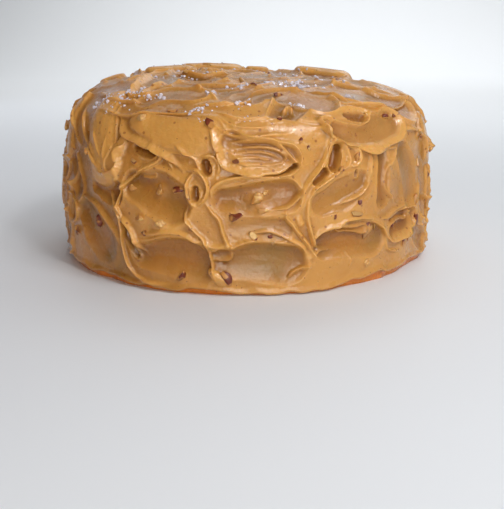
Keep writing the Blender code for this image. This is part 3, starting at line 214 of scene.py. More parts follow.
FRONT_RIDGES = [
    # Upper left: the thick lip of the broad scoop, and the folds under it
    Ridge([(-40, 93), (-37.5, 88), (-35, 84.5), (-31, 83), (-26.5, 80.5), (-23, 78), (-20, 74.5), (-17, 68)],
          2.6, 1.7, -1.1, 1.4),
    Ridge([(-26.5, 79), (-23, 75.5), (-21, 72), (-20, 68)], 1.5, 1.1, -0.5),
    Ridge([(-26, 78.5), (-24, 75), (-25, 71.5), (-28, 68.5), (-31.5, 65)], 2.2, 1.5, 0.3),
    Ridge([(-20, 81), (-14, 75), (-12.5, 68)], 1.2, 1, -0.4),
    # Left pool: its bright rim, and the double ridge running down from it
    Ridge([(-28, 68.5), (-33, 63), (-36, 56), (-38, 47), (-37, 43), (-35, 38)], 2.6, 1.5, 0.4),
    Ridge([(-36.5, 41.5), (-33, 36.5), (-31.5, 32), (-30.5, 27.5), (-28, 21)], 2.3, 1.4, -0.3),
    Ridge([(-39.5, 46), (-37, 39), (-36, 33), (-36, 27), (-35, 20), (-34, 12.5), (-31.5, 7), (-27, 5),
           (-21, 5.5)], 2.4, 1.4, 0.3),
    Ridge([(-42, 54), (-39, 46), (-37, 40.5), (-35, 36)], 1.4, 1, 0.2),
    # Lower left pool and the left edge
    Ridge([(-54, 46), (-48, 45), (-42, 38), (-38, 30), (-36.5, 20)], 1.8, 1.5, -0.8, 0.6),
    Ridge([(-66, 46), (-61, 42.5), (-58, 37.5), (-59.5, 31.5), (-64, 27)], 2, 1.3, 0.3),
    Ridge([(-61, 68), (-60, 61.5), (-61, 55), (-64, 49.5)], 1.6, 1.2, 0.2),
    Ridge([(-70, 46), (-68.5, 38), (-67, 31), (-64, 27)], 1.2, 1.2),
    # Hanging tongues at the upper left
    Ridge([(-63.5, 95), (-60, 88), (-57, 80), (-52.5, 74), (-48.5, 67.5), (-45, 64)], 2, 1.7, 0.5, 0.4),
    Ridge([(-34.5, 81.5), (-36, 77), (-38, 73.5), (-37, 69), (-38, 64), (-41.5, 60.5), (-45, 62)],
          2.2, 1.6, -0.8, 0.5),
    Ridge([(-49.5, 84), (-47.5, 78), (-45, 71)], 0.8, 0.9),
    Ridge([(-53, 82), (-51, 76), (-47.5, 70)], 0.7, 0.9),
    Ridge([(-43, 82), (-43.5, 75), (-43.5, 69)], 0.6, 0.9),
    Ridge([(-71, 94), (-68, 86), (-63.5, 78.5), (-59.5, 73.5)], 1.5, 1.4, 0.4),
    Ridge([(-50, 94.5), (-45, 94), (-37, 94.5), (-29, 97), (-19.5, 98), (-12, 99.5)], 1.4, 1.1, -0.6, 0.6),
    # Ribs between the left and the middle pools
    Ridge([(-16.5, 68.5), (-13, 68), (-11, 64), (-10, 58.5), (-11, 53), (-13, 49.5)], 2.2, 1.4),
    Ridge([(-14, 67), (-15.5, 62.5), (-15.8, 57), (-14.8, 52), (-13, 49.5)], 2, 1.3),
    Ridge([(-10.5, 51.5), (-9, 47), (-7, 43), (-6, 37), (-5, 31.5), (-3, 27)], 2.2, 1.4, 0.2),
    Ridge([(-15.5, 49), (-16, 43.5), (-14, 38), (-11, 32.5), (-10, 27.5), (-9, 22), (-8.5, 15), (-8, 10)],
          2.3, 1.3),
    Ridge([(-11, 31), (-8, 29), (-5, 29.5), (-3, 30)], 1.7, 1.2, -0.6, 0.4),
    Ridge([(-12.5, 74.5), (-9.5, 75.5), (-7.5, 71), (-8, 65.5)], 1.6, 1.3, 0.2),
    # Lower pools: arches over them
    Ridge([(-29, 31), (-25.5, 34), (-21.5, 35.5), (-17, 35), (-13, 31), (-10.5, 25)], 1.6, 1.6, -0.6, 0.8),
    Ridge([(1.5, 36), (5.5, 37), (9, 35), (12, 31.5), (15, 27.5), (16, 21.5)], 1.7, 1.5, -0.6, 0.8),
    Ridge([(19, 31), (20.5, 35), (23.5, 37), (28.5, 36), (35, 34.5)], 1.6, 1.4, -0.8, 0.8),
    # The oval swirl in the middle: its sweeping sides and the thick lower lip that hangs over
    Ridge([(-10.5, 91), (-8.5, 84.5), (-7, 79), (-6.5, 75), (-5, 71.5), (-1.5, 70.5), (4, 69), (9, 70),
           (13, 73.5)], 3, 2, -1.1, 0.8),
    Ridge([(-4.5, 83), (-1, 84), (3, 84), (7, 82.5), (10, 78), (12, 74), (14, 70)], 2, 1.4, 0.2),
    Ridge([(-3, 80.5), (2, 81), (7, 79.5), (10.2, 75.5), (9, 72.5)], 1.5, 1),
    Ridge([(-3.5, 78), (2, 78.5), (6, 77), (8.5, 74.5)], 1.2, 0.9),
    Ridge([(-4, 75.5), (1, 75.8), (5, 74.5), (7.5, 73)], 1.1, 0.9),
    Ridge([(-3.5, 73.2), (1, 72.8), (6, 71.8), (10, 72.5)], 1.2, 0.9, -0.3),
    Ridge([(-10, 92), (-6, 87.5), (-1, 85.8), (6, 86.5), (12, 87.5)], 1.4, 1.2),
    Ridge([(-9, 99), (-4, 96), (2, 95.8), (8, 96.5)], 1.2, 1),
    Ridge([(-8.5, 96), (-5, 92), (0, 90.5), (6, 91)], 1, 0.9),
    # Middle pool: its rim
    Ridge([(-8.5, 53), (-9, 58), (-6.5, 62), (-1.5, 64.5), (5, 65.5), (10, 66.5)], 2.3, 1.6, 0.3),
    Ridge([(22, 83), (21.5, 76), (19.5, 70), (17, 64), (15, 58), (13, 53), (10.5, 49), (6, 47.5)],
          2.3, 1.4, 0.3),
    # Ribs right of the middle, and the small lump between them
    Ridge([(13.2, 45), (13.8, 41.5), (14.8, 38)], 1.6, 2.4),
    Ridge([(10.5, 48), (10.5, 43), (12.5, 38), (14.3, 33), (16, 28.5), (18, 23)], 2.2, 1.3),
    Ridge([(16.5, 55), (16, 49), (16, 43), (16.5, 37), (17.3, 31), (18.5, 27), (20.5, 24.5)], 2.5, 1.6),
    Ridge([(16.5, 51), (17.5, 55), (18.5, 58), (21, 61), (24, 64.5), (26.5, 69.5)], 2.2, 1.4),
    Ridge([(16, 58), (18, 64), (20, 68), (21.5, 72), (22.5, 79), (24, 83)], 1.9, 1.2, 0.3),
    Ridge([(23, 82.5), (25, 83), (27, 79.5), (28, 74.5), (28, 70.5), (26, 66)], 2.2, 1.4, 0.3),
    Ridge([(28, 80.5), (30.5, 78), (31.5, 74), (31, 70.5), (28.5, 68)], 2.2, 1.5, 0.5),
    Ridge([(36.5, 78), (36, 70), (35, 62), (34.5, 57), (32, 52.5), (28.5, 50.5), (24, 48)], 2, 1.4, 0.3),
    # Upper right: the fold over the broad scoop, its hook, and the ledge under it
    Ridge([(19, 90.5), (21, 90), (23, 87), (26, 83), (29, 80.5), (33, 78.5)], 2.2, 1.6, -0.4),
    Ridge([(32.5, 78.5), (39, 78.5), (45.5, 80), (49.5, 83), (51, 88), (50, 97)], 2.4, 1.8, -0.9, 0.8),
    Ridge([(26, 99), (31, 101), (35.5, 100), (38, 97), (36, 92.5), (33, 90)], 1.8, 1.2, 0.3),
    Ridge([(23, 94.5), (27, 92.5), (31.5, 91), (35, 90.5)], 1.5, 1),
    Ridge([(19.5, 97), (20.5, 93), (22, 90), (24, 86.5)], 2, 1.2),
    Ridge([(31.5, 78), (38, 77.5), (45, 76.5), (48, 75)], 1.6, 1.3, -0.9, 0.5),
    Ridge([(48, 75.5), (45.5, 70), (43, 66), (42, 61), (42, 53), (44.5, 47), (48, 42.5)], 1.8, 1.2, 0.2),
    Ridge([(50, 84.5), (55, 85.5), (62, 83), (68, 78), (70, 70), (69, 60)], 2, 1.6, -0.6, 0.5),
    # Lower right: the small pocket with its folded edge, and the creases round it
    Ridge([(40.5, 37), (43, 37), (46.5, 40), (52.5, 41)], 1.5, 1.2, -0.4),
    Ridge([(52, 38), (55, 31.5), (54, 26), (50, 24), (45.5, 23), (43, 24)], 2.5, 1.6, 1),
    Ridge([(42.5, 25), (43.5, 17), (49, 14)], 1.4, 1.1),
    Ridge([(35, 36), (38, 35.5), (41, 31.5), (42.5, 26.5), (46, 21.5)], 1.5, 1, -0.3),
    Ridge([(17, 20), (20, 24), (24, 23.5)], 1.9, 1.3, -0.5),
    Ridge([(11, 9), (14, 14), (18, 16)], 1.6, 1.3, 0.4),
    Ridge([(28, 22), (29.5, 17), (29, 12)], 0.9, 1),
]

TOP_SWIPES = [
    Swipe([(40, -60), (60, -60), (86, -52)], 14, 2.4, 1.6, 1.6, 2.4, 0.3),
    Swipe([(-2, -86), (16, -80), (36, -84)], 13, 2.2, 1.6, 0.8, 1.4, 0.2),
    Swipe([(-56, -80), (-42, -76), (-28, -82)], 9, 1.6, 1.6, 0.8, 1.2, 0.2),
    Swipe([(-92, -30), (-80, -40), (-72, -54)], 10, 1.6, 1.2, 1, 1.6, 0.2),
    Swipe([(-36, -60), (-18, -62), (2, -50)], 10, 1.8, 1.8, 1.2, 1.4, 0.3),
    Swipe([(-40, 46), (-28, 50), (-14, 50)], 11, -4.6, 0.6, 1, 1.8, 0.6),
    Swipe([(38, 42), (50, 40), (60, 32)], 11, -5.6, 0.6, 1.2, 1.6, 0.6),
    Swipe([(2, 54), (9, 54)], 6, -3.4, 0.6, 0.6, 0.9, 0.3),
    Swipe([(-64, 26), (-54, 30), (-44, 34)], 8, -3.4, 1, 0.8, 1.6, 0.5),
    Swipe([(-94, 16), (-86, 22)], 5, -2.6, 0.6, 0.6, 1, 0.4),
    Swipe([(80, 12), (90, 4), (98, -8)], 6, -1.8, 0.6, 0.6, 1, 0.4),
]

TOP_RIDGES = [
    Ridge([(-66, -70), (-63, -56), (-59, -40), (-56, -26)], 3, 2.2, 0.6, 1),
    Ridge([(-59, -73), (-52, -63), (-45, -56)], 2.8, 2, 0.6, 0.8),
    Ridge([(-39, -64), (-26, -62), (-12, -62), (-2, -50), (-8, -36)], 2.6, 2, 0.4, 0.8),
    Ridge([(-44, -12), (-26, -22), (-12, -10)], 2.8, 2, -0.5, 0.8),
    Ridge([(18, -101), (21, -96), (24, -99)], 3.2, 1.8),
    Ridge([(-27, -95), (-14, -97), (-2, -94), (2, -84)], 1.6, 1.6, -0.5, 0.6),
    Ridge([(-80, -65), (-69, -73), (-57, -80)], 1.8, 1.4, -0.5, 0.4),
    Ridge([(48, -83), (58, -78), (71, -71), (83, -60), (91, -42), (92, -26)], 2.6, 1.6, -0.5, 0.4),
    Ridge([(46, -36), (62, -40), (76, -46), (90, -38)], 2.4, 1.8, 0.4, 0.6),
    Ridge([(34, -66), (44, -70), (56, -78)], 2, 1.5, 0.2, 0.6),
    Ridge([(36, -101), (40, -98), (45, -97)], 2.4, 1.5),
    Ridge([(-2, -86), (6, -76), (20, -68), (34, -70)], 1.8, 1.5, 0.4, 0.8),
]

FRONT_NUTS = [
    Nut((-46.5, 35), 9, 5, 80, 0.4),
    Nut((36, 31), 11.5, 5.5, 80, 0.5),
    Nut((2.8, 54), 8, 6, 40, 0.6, 1),
    Nut((5, 57), 4, 3, 10, 0.5, 1),
    Nut((4.5, 47.5), 6, 3.5, -10, 0.5, 1),
    Nut((-32.5, 56.5), 5, 4, 20, 0.4, 1),
    Nut((-23.8, 57), 6, 4.5, 60, 0.5, 1),
    Nut((-18.5, 57.5), 7, 4, 0, 0.45),
    Nut((-2.8, 44.5), 7.5, 4.5, 35, 0.5),
    Nut((2, 34), 6, 3.5, -60, 0.35),
    Nut((30.5, 42), 8, 3.5, -5, 0.45),
    Nut((32, 48.5), 3.5, 2.5, 60, 0.45),
    Nut((-17.5, 10), 8.5, 4, 75, 0.45),
    Nut((-5, 11), 9, 5, -50, 0.5),
    Nut((-10.2, 92), 7.5, 4.5, -55, 0.45),
    Nut((-31, 92.5), 6, 4.5, 0, 0.35, 1),
    Nut((-32, 70.5), 4, 2.8, -30, 0.45),
    Nut((-51.5, 71.5), 5, 4, 0, 0.45, 1),
    Nut((-58, 24), 8, 4.5, -60, 0.35),
    Nut((-29, 41), 6, 4, 30, 0.4, 1),
    Nut((-28, 33), 4, 3, 0, 0.45),
    Nut((-22.5, 39), 7, 5, 10, 0.2, 1),
    Nut((30.8, 74), 8, 3.6, 70, 0.4),
    Nut((25.6, 67.5), 3.6, 3.2, 0, 0.35),
    Nut((14.2, 83.5), 4.5, 2.4, 60, 0.4),
    Nut((16.7, 80), 3, 2.2, -40, 0.4),
    Nut((22, 92), 4, 3, 0, 0.45),
    Nut((46.3, 31.5), 5, 2.5, 80, 0.35),
    Nut((58, 41), 8, 4, 50, 0.45),
    Nut((59, 29), 10, 4, -70, 0.4),
    Nut((51.5, 19), 6.5, 3, 60, 0.3),
    Nut((54.5, 20), 5, 2.4, -70, 0.3),
    Nut((61, 62), 5, 3, 75, 0.35),
    Nut((63, 77), 5, 3.5, 30, 0.45),
    Nut((46, 95), 5, 3.5, 0, 0.45),
    Nut((49.5, 94), 3, 2.4, 0, 0.4),
    Nut((35, 13), 5, 3.5, 60, 0.3, 1),
    Nut((38.8, 32.5), 4.5, 2.6, 70, 0.4),
    Nut((-23, 100), 7, 3.5, 0, 0.45),
    Nut((6.5, 33.5), 2.8, 2, 0, 0.35),
    Nut((7.2, 30), 2.6, 2, 50, 0.35),
    Nut((24, 42), 2.8, 2.2, 50, 0.35),
    Nut((-2.6, 73.5), 4, 2.6, 10, 0.4),
    Nut((-9.7, 69), 4, 3, 70, 0.2),
    Nut((9, 96), 3, 2.6, 0, 0.4),
]

# Where nothing was listed, strokes and nuts are drawn at random from these ranges
Ranges = namedtuple("Ranges", "half_width depth lean")
SIDE_SWIPE_COLUMNS = 15
SIDE_SWIPE_ROWS = (14, 36, 58, 80)
SIDE_SWIPE_LENGTH = (16, 34)
SIDE_SWIPE_ENDS = (6, 94)
SIDE_SWIPE_RANGES = Ranges((8, 13), (1.0, 2.6), (0.1, 0.4))
TOP_SWIPE_COUNT = 26
TOP_SWIPE_SPREAD = 92
TOP_SWIPE_LENGTH = (26, 48)
TOP_SWIPE_RANGES = Ranges((9, 15), (0.8, 2.2), (0.1, 0.5))
SHOULDER_SWIPE_STEP = 19
SHOULDER_SWIPE_START = (76, 86)
SHOULDER_SWIPE_CLIMB = (17, 25)
SHOULDER_SWIPE_RANGES = Ranges((7, 11), (1.0, 2.2), (0.1, 0.4))
FRONT_EDGE = 62
BACK_RIDGES = 60
BACK_RIDGE_ENDS = (5, 100)
BACK_NUTS = 40
BACK_NUT_LENGTH = (4, 9)
TOP_NUTS = 18
TOP_NUT_SPREAD = 84
TOP_NUT_LENGTH = (3.5, 7.5)

# Chips: thickness as a share of their width, how far they sink as a share of their thickness, their
# ribs, and the number of cuts and how far from the middle they pass, in lengths of the chip
CHIP_THICKNESS = 0.8
CHIP_SINK = 0.38
CHIP_RIBS = 5
CHIP_RIB_HEIGHT = 0.10
CHIP_CUTS = (3, 6)
CHIP_CUT_PLACE = (0.12, 0.34)
# The swelling over a nut: its height as a share of the nut's width, bare or coated, and its size as
# a share of the nut's length
MOUND_HEIGHTS = (0.16, 0.30)
MOUND_SIZE = 0.62

# Salt: flakes in clusters on the top, as (x, y, spread, count), none past SALT_EDGE. They tip by up
# to SALT_TIP radians and stand off the frosting by SALT_LIFT of their width.
SALT_EDGE = 108
SALT_TIP = 0.6
SALT_LIFT = 0.12
SALT_CLUSTERS = [
    (-82, -60, 9, 16),
    (-66, -70, 12, 60),
    (-52, -76, 6, 14),
    (-76, -69, 5, 9),
    (-29, -98, 4, 12),
    (-23, -98, 6, 10),
    (-20, -80, 4, 16),
    (-4, -64, 8, 34),
    (-3, -97, 6, 12),
    (10, -50, 6, 26),
    (28, -46, 13, 74),
    (26, -91, 5, 12),
    (55, -58, 4, 12),
    (-40, -20, 18, 20),
    (-20, 10, 26, 30),
    (40, -20, 20, 24),
    (30, 28, 28, 36),
    (-40, 34, 28, 30),
    (0, 72, 24, 16),
    (-76, -75, 3, 5),
    (-25, -104, 3, 4),
    (0, -107, 4, 6),
]

# Sizes in the materials, in metres: each pattern's grain, and how deep its relief is
THIN_PATCH_SIZE = 0.030
OILY_PATCH_SIZE = 0.012
CURD_SIZE, CURD_DEPTH = 0.0026, 0.00060
BLADE_LINE_SPACING, BLADE_LINE_LENGTH, BLADE_LINE_DEPTH = 0.0008, 0.030, 0.00022
SKIN_GRAIN_SIZE, SKIN_GRAIN_DEPTH = 0.0016, 0.0003
SMEAR_SIZE = 0.0042
MILK_SIZE = 0.0012
# Specks lie one to a cell in SPECK_SHARE of the cells. A radius is given as a share of the cell.
SPECK_CELL, SPECK_RADIUS = 0.0034, 0.13
CRUMB_CELL, CRUMB_RADIUS = 0.0056, 0.17
SPECK_SHARE = 0.5
SPECK_EDGE = 0.05
SPECK_STRENGTH = 0.8
# How strongly painted shade darkens the grooves and hollows
GROOVE_SHADE_STRENGTH = 0.52

# Stage: the table, the soft lights round the cake, and the glow of the room. place and aim are in
# metres from the middle of the cake's foot, power in watts and spread in degrees.
TABLE_HALF_WIDTH, TABLE_BACK, WALL_BEND, WALL_HEIGHT = 5.0, 1.5, 0.8, 3.0
CAKE_MIDDLE = (0, 0, 0.06)
Lamp = namedtuple("Lamp", "name place size power colour aim spread", defaults=(CAKE_MIDDLE, 180))
LAMPS = [
    Lamp("window_right", (0.38, -0.52, 0.64), 0.34, 2.8, "#f8f9ff"),
    Lamp("glint_lamp", (0.30, -0.55, 0.62), 0.08, 0.85, "#fffdfa"),
    Lamp("window_back", (0.40, 0.60, 0.58), 0.5, 1.0, "#f8fbff"),
    Lamp("low_fill", (0.10, -0.95, 0.14), 0.5, 3.9, "#fffaf0"),
    Lamp("window_left_back", (-0.55, 0.75, 0.50), 0.7, 0.6, "#e6eeff"),
    Lamp("warm_bounce", (-0.85, -0.30, 0.12), 0.5, 0.4, "#ff7a44"),
    Lamp("wall_wash", (0.30, 1.60, 1.5), 1.8, 13.4, "#ffffff", (0.30, 1.60, 0.0), 100),
]
ROOM_LEFT_COLOUR, ROOM_RIGHT_COLOUR, ROOM_SEEN_COLOUR = "#ecd2c4", "#f2f3f5", "#eceef0"
ROOM_LEFT_GLOW, ROOM_RIGHT_GLOW, ROOM_SEEN_GLOW = 0.06, 0.42, 0.75


# Body

def side_radius(height):
    """Radius of the side: widest low down, drawn in by SIDE_TAPER at the shoulder."""
    above = (height - WIDEST_HEIGHT) / (SHOULDER_HEIGHT - WIDEST_HEIGHT)
    below = (WIDEST_HEIGHT - height) / WIDEST_HEIGHT
    upper = WIDEST_RADIUS - SIDE_TAPER * above**2
    lower = WIDEST_RADIUS - (WIDEST_RADIUS - BASE_RADIUS) * below**2
    return np.where(height > WIDEST_HEIGHT, upper, lower)


def skin_profile(step):
    """(radius, height, rise) up the side, over the shoulder and to the middle of the top, step
    apart. The shoulder and the low dome are one superellipse."""
    side = np.linspace(0, SHOULDER_HEIGHT, 200, endpoint=False)
    turn = np.linspace(0, math.pi / 2, 400)
    rising = SHOULDER_HEIGHT + (CAKE_HEIGHT - SHOULDER_HEIGHT) * np.sin(turn) ** (2 / SHOULDER_POWER)
    share = np.clip(np.cos(turn), 0, 1) ** (2 / SHOULDER_POWER)
    radius = np.concatenate([side_radius(side), side_radius(rising) * share])
    height = np.concatenate([side, rising])
    run = np.concatenate([[0], np.cumsum(np.hypot(np.diff(radius), np.diff(height)))])
    even = np.linspace(0, run[-1], int(run[-1] / step) + 1)
    return np.interp(even, run, radius), np.interp(even, run, height), even


RING_RADIUS, RING_HEIGHT, RING_RISE = skin_profile(0.0002)
SLOPE_RADIUS = np.gradient(RING_RADIUS, RING_RISE)
SLOPE_HEIGHT = np.gradient(RING_HEIGHT, RING_RISE)
TOP_START = int(np.searchsorted(RING_HEIGHT, SHOULDER_HEIGHT))


def skin_at(places, on_top):
    """(points, outward normals) of the bare skin at rows of (degrees, rise) on the side or (x, y)
    on the top."""
    places = np.atleast_2d(np.asarray(places, float))
    if on_top:
        angle = np.arctan2(places[:, 0], -places[:, 1])
        radius = np.hypot(places[:, 0], places[:, 1]) * MM
        rise = np.interp(radius, RING_RADIUS[:TOP_START:-1], RING_RISE[:TOP_START:-1])
    else:
        angle = np.radians(places[:, 0])
        rise = places[:, 1] * MM
    out = np.stack([np.sin(angle), -np.cos(angle)], 1)
    radius, height = np.interp(rise, RING_RISE, RING_RADIUS), np.interp(rise, RING_RISE, RING_HEIGHT)
    slope_r, slope_z = np.interp(rise, RING_RISE, SLOPE_RADIUS), np.interp(rise, RING_RISE, SLOPE_HEIGHT)
    normals = np.column_stack([out * slope_z[:, None], -slope_r])
    normals /= np.linalg.norm(normals, axis=1)[:, None]
    return np.column_stack([out * radius[:, None], height]), normals


# Frosting

def lattice_noise(points, size, seed):
    """Smooth noise from -1 to 1: random values on a grid of that size, blended between its corners."""
    values = np.random.default_rng(seed).uniform(-1, 1, (LATTICE, LATTICE, LATTICE))
    place = points / size + 100.0
    cell = np.floor(place).astype(int)
    share = place - cell
    share = share * share * (3 - 2 * share)
    total = np.zeros(len(points))
    for corner in np.ndindex(2, 2, 2):
        at = (cell + corner) % LATTICE
        weight = np.where(np.array(corner) == 1, share, 1 - share).prod(axis=1)
        total += weight * values[at[:, 0], at[:, 1], at[:, 2]]
    return total


def wavy(points, waves, seed):
    """The sum of some smooth noises, given as (size, reach)."""
    return sum(reach * lattice_noise(points, size, seed + i) for i, (size, reach) in enumerate(waves))


def smooth(edge_low, edge_high, value):
    """0 below the low edge, 1 above the high edge, and an S curve between."""
    share = np.clip((value - edge_low) / (edge_high - edge_low), 0, 1)
    return share * share * (3 - 2 * share)


def crest_shape(distance, inner, outer):
    """1 on the crest's line, falling away at a rate of its own on each side, with a rounded tip."""
    soft = np.sqrt(distance**2 + CREST_CORE**2) - CREST_CORE
    return np.exp(-soft / np.where(distance < 0, inner, outer))


def curve_through(places):
    """PATH_POINTS points of a Catmull-Rom curve through the places, evenly spread by place."""
    knots = np.asarray(places, float)
    knots = np.vstack([2 * knots[0] - knots[1], knots, 2 * knots[-1] - knots[-2]])
    share = np.linspace(0, len(places) - 1, PATH_POINTS)
    first = np.minimum(share.astype(int), len(places) - 2)
    t = (share - first)[:, None]
    a, b, c, d = (knots[first + i] for i in range(4))
    return 0.5 * (2 * b + (c - a) * t + (2 * a - 5 * b + 4 * c - d) * t**2 + (3 * b - a - 3 * c + d) * t**3)


def along_path(skin, places, on_top, reach):
    """For the skin's points within reach of a curve: their indices, share of its way, run along
    it, distance from it, and the unit vectors away from it and along it."""
    path = skin_at(curve_through(places), on_top)[0]
    low, high = path.min(0) - reach, path.max(0) + reach
    near = np.flatnonzero(((skin > low) & (skin < high)).all(axis=1))
    spot = skin[near]
    begin, step = path[:-1], np.diff(path, axis=0)
    length = np.maximum((step**2).sum(1), 1e-10)
    share = np.clip((spot @ step.T - (begin * step).sum(1)) / length, 0, 1)
    square = np.stack([(spot[:, i, None] - begin[:, i] - share * step[:, i]) ** 2 for i in range(3)]).sum(0)
    best = square.argmin(1)
    row = np.arange(len(near))
    distance = np.sqrt(square[row, best])
    foot = begin[best] + share[row, best][:, None] * step[best]
    away = (spot - foot) / np.maximum(distance, 1e-7)[:, None]
    heading = step[best] / np.sqrt(length[best])[:, None]
    size = np.sqrt(length)
    run = np.concatenate([[0], np.cumsum(size)])[best] + share[row, best] * size[best]
    return near, run / size.sum(), run, distance, away, heading


class Frosting:
    """The worked frosting: its lift off the skin, its slide along it, and the drag of the last
    swipe over each point as (across, along) in millimetres."""

    def __init__(self, skin, normals):
        self.skin, self.normals = skin, normals
        self.lift = UNDULATION_HEIGHT * lattice_noise(skin, UNDULATION_SIZE, SEED + 1)
        self.lift += RIPPLE_HEIGHT * lattice_noise(skin, RIPPLE_SIZE, SEED + 2)
        self.slide = np.zeros_like(skin)
        self.wander = wavy(skin, WANDER_WAVES, SEED + 20)
        self.vigour = 1 + VIGOUR_REACH * lattice_noise(skin, VIGOUR_SIZE, SEED + 23)
        self.drag = np.column_stack([skin[:, 2], skin[:, 0]]) / MM
        self.streaks = np.random.default_rng(SEED + 5).uniform(-1, 1, STREAK_COUNT)
        self.count = 0

    def streak(self, across):
        """A fixed random profile across the swipe, one value each STREAK_WIDTH, joined smoothly."""
        place = across / STREAK_WIDTH + 200 + 37 * self.count
        cell = np.floor(place).astype(int)
        share = place - cell
        share = share * share * (3 - 2 * share)
        near, far = self.streaks[cell % STREAK_COUNT], self.streaks[(cell + 1) % STREAK_COUNT]
        return near * (1 - share) + far * share

    def swipe(self, stroke, on_top):
        """Flattens what lies under the swipe, gives it a curved floor and raises its crests. With
        a the distance from its path as a share of its half width, a scoop's floor is
        -depth * (1 - a^2) and a tongue's top -depth * (1 - a^4)."""
        self.count += 1
        half_width, depth = stroke.half_width * MM, stroke.depth * MM
        near, share, run, distance, away, heading = along_path(
            self.skin, stroke.path, on_top, half_width + SWIPE_REACH
        )
        left = (np.cross(self.normals[near], heading) * away).sum(1)
        width = half_width * (SWIPE_START_WIDTH + (1 - SWIPE_START_WIDTH) * smooth(0, 0.5, share))
        distance = np.maximum(distance + self.wander[near], 0)
        across = distance / width
        inside = 1 - smooth(0.80, 1.0, across)
        edge = np.minimum(across, 1)
        if depth < 0:
            floor = -depth * (1 - edge**4)
        else:
            deeper_above = 0 if on_top else UPPER_SCOOP * away[:, 2] * across
            floor = -depth * (1 - edge**2) * (1 + deeper_above)
        floor = floor + STREAK_HEIGHT * self.streak(distance * left)
        self.lift[near] += inside * (floor - SWIPE_WEIGHT * self.lift[near])
        self.slide[near] *= 1 - inside[:, None]
        side = 0.5 + 0.5 * np.tanh(left * 3)
        height = (stroke.left * side + stroke.right * (1 - side)) * MM * smooth(-0.3, 0.4, share)
        ending = smooth(0.86, 1.0, share)
        height = height * (1 - ending) + stroke.lip * MM * ending
        crest = height * self.vigour[near] * crest_shape(distance - width, CREST_INNER, CREST_OUTER)
        crest *= 1 - smooth(*CREST_ROOM, self.lift[near])
        self.lift[near] += crest
        self.slide[near] += (stroke.lean * crest)[:, None] * away
        under = near[inside > 0.5]
        self.drag[under] = np.column_stack([distance * left + self.count * 0.031, run])[inside > 0.5] / MM

    def ridge(self, stroke, on_top):
        """Raises one crest, tapered at both ends and folded over to one side. Its section is a
        half ellipse, sqrt(1 - a^2), on a foot that falls away as exp(-a), with a the distance from
        its path as a share of its half width."""
        near, share, _, distance, away, heading = along_path(
            self.skin, stroke.path, on_top, SWIPE_REACH
        )
        sideways = np.cross(self.normals[near], heading)
        left = distance * (sideways * away).sum(1)
        past_end = np.sqrt(np.maximum(distance**2 - left**2, 0))
        left = left + 0.5 * self.wander[near]
        ends = smooth(0, ROPE_TIP, share) * smooth(0, ROPE_TIP, 1 - share)
        half_width = ROPE_WIDTH * stroke.half_width * MM * (0.6 + 0.4 * ends)
        rope = np.sqrt(np.clip(1 - (left / half_width) ** 2, 0, 1))
        foot = np.exp(-np.abs(left) / half_width)
        capped = np.exp(-((past_end / ROPE_CAP) ** 2))
        ridge = ROPE_HEIGHT * stroke.height * MM * (0.15 + 0.85 * ends) * self.vigour[near] * capped
        ridge *= ROPE_SHARE * rope + (1 - ROPE_SHARE) * foot
        ridge *= 1 - 0.7 * smooth(*RIDGE_ROOM, self.lift[near])
        signed = left if stroke.lean > 0 else -left
        lower = np.exp(-np.maximum(signed, 0) / DROP_REACH) * smooth(-0.0005, 0.0008, signed)
        drop = stroke.drop * MM * ends * lower * np.exp(-((past_end / DROP_REACH) ** 2))
        self.lift[near] += ridge - drop
        self.slide[near] += (stroke.lean * ridge)[:, None] * sideways

    def mound(self, point, size, height):
        """Raises a low round swelling over a buried nut: height * exp(-(distance / size)^2)."""
        near = np.flatnonzero((np.abs(self.skin - point) < 2.2 * size).all(axis=1))
        distance = np.linalg.norm(self.skin[near] - point, axis=1)
        self.lift[near] += height * np.exp(-((distance / size) ** 2))

    def placed(self):
        """The skin's points, moved to the worked frosting. At the bottom the frosting ends in a
        wavy lip, and the caramel under it is drawn in. Gives the points and how far each lies
        under the lip, from 0 to 1."""
        round_foot = self.skin * (1, 1, 0)
        height = self.skin[:, 2]
        aside = np.abs(self.skin[:, 0]) / BASE_RADIUS
        lip = LIP_RISE + LIP_SPREAD * smooth(0.25, 0.75, aside)
        lip = lip + wavy(round_foot, LIP_WAVES, SEED + 4)
        under = 1 - smooth(-LIP_EDGE, LIP_EDGE, height - lip)
        bulge = LIP_REACH * np.exp(-(((height - lip - BULGE_RISE) / BULGE_SIZE) ** 2))
        skirt = SKIRT_REACH + wavy(round_foot, SKIRT_WAVES, SEED + 30)
        near_foot = 1 - smooth(*CALM_FOOT, height)
        lift = self.lift * (1 - 0.6 * near_foot) + skirt * near_foot + bulge - TUCK * under
        points = self.skin + self.normals * lift[:, None] + self.slide * (1 - near_foot)[:, None]
        points[:, 2] = np.maximum(points[:, 2], 0)
        points[height <= 0, 2] = 0
        return settled(points), under


def settled(points):
    """The cake's slump: it leans by LEAN at the top, its top falls by TOP_TILT to one side, and its
    foot is pushed over by FOOT_SHIFT."""
    share = np.clip(points[:, 2] / CAKE_HEIGHT, 0, 1.1)
    shift = LEAN * share + FOOT_SHIFT * (1 - np.clip(points[:, 2] / FOOT_HEIGHT, 0, 1))
    sink = TOP_TILT * points[:, 0] * share**3
    return points + np.column_stack([shift, np.zeros(len(points)), -sink])


def uneven_crests(rng):
    """Heights of the left, right and end crests, high on one side only."""
    strong, weak = rng.uniform(1.2, 2.4), rng.uniform(0, 0.6)
    sides = (strong, weak) if rng.random() < 0.5 else (weak, strong)
    return (*sides, rng.uniform(0.3, 1.8))


def random_swipe(rng, path, ranges):
    """A swipe along a path, with the rest drawn from its ranges."""
    half_width, depth = rng.uniform(*ranges.half_width), rng.uniform(*ranges.depth)
    return Swipe(path, half_width, depth, *uneven_crests(rng), rng.uniform(*ranges.lean))


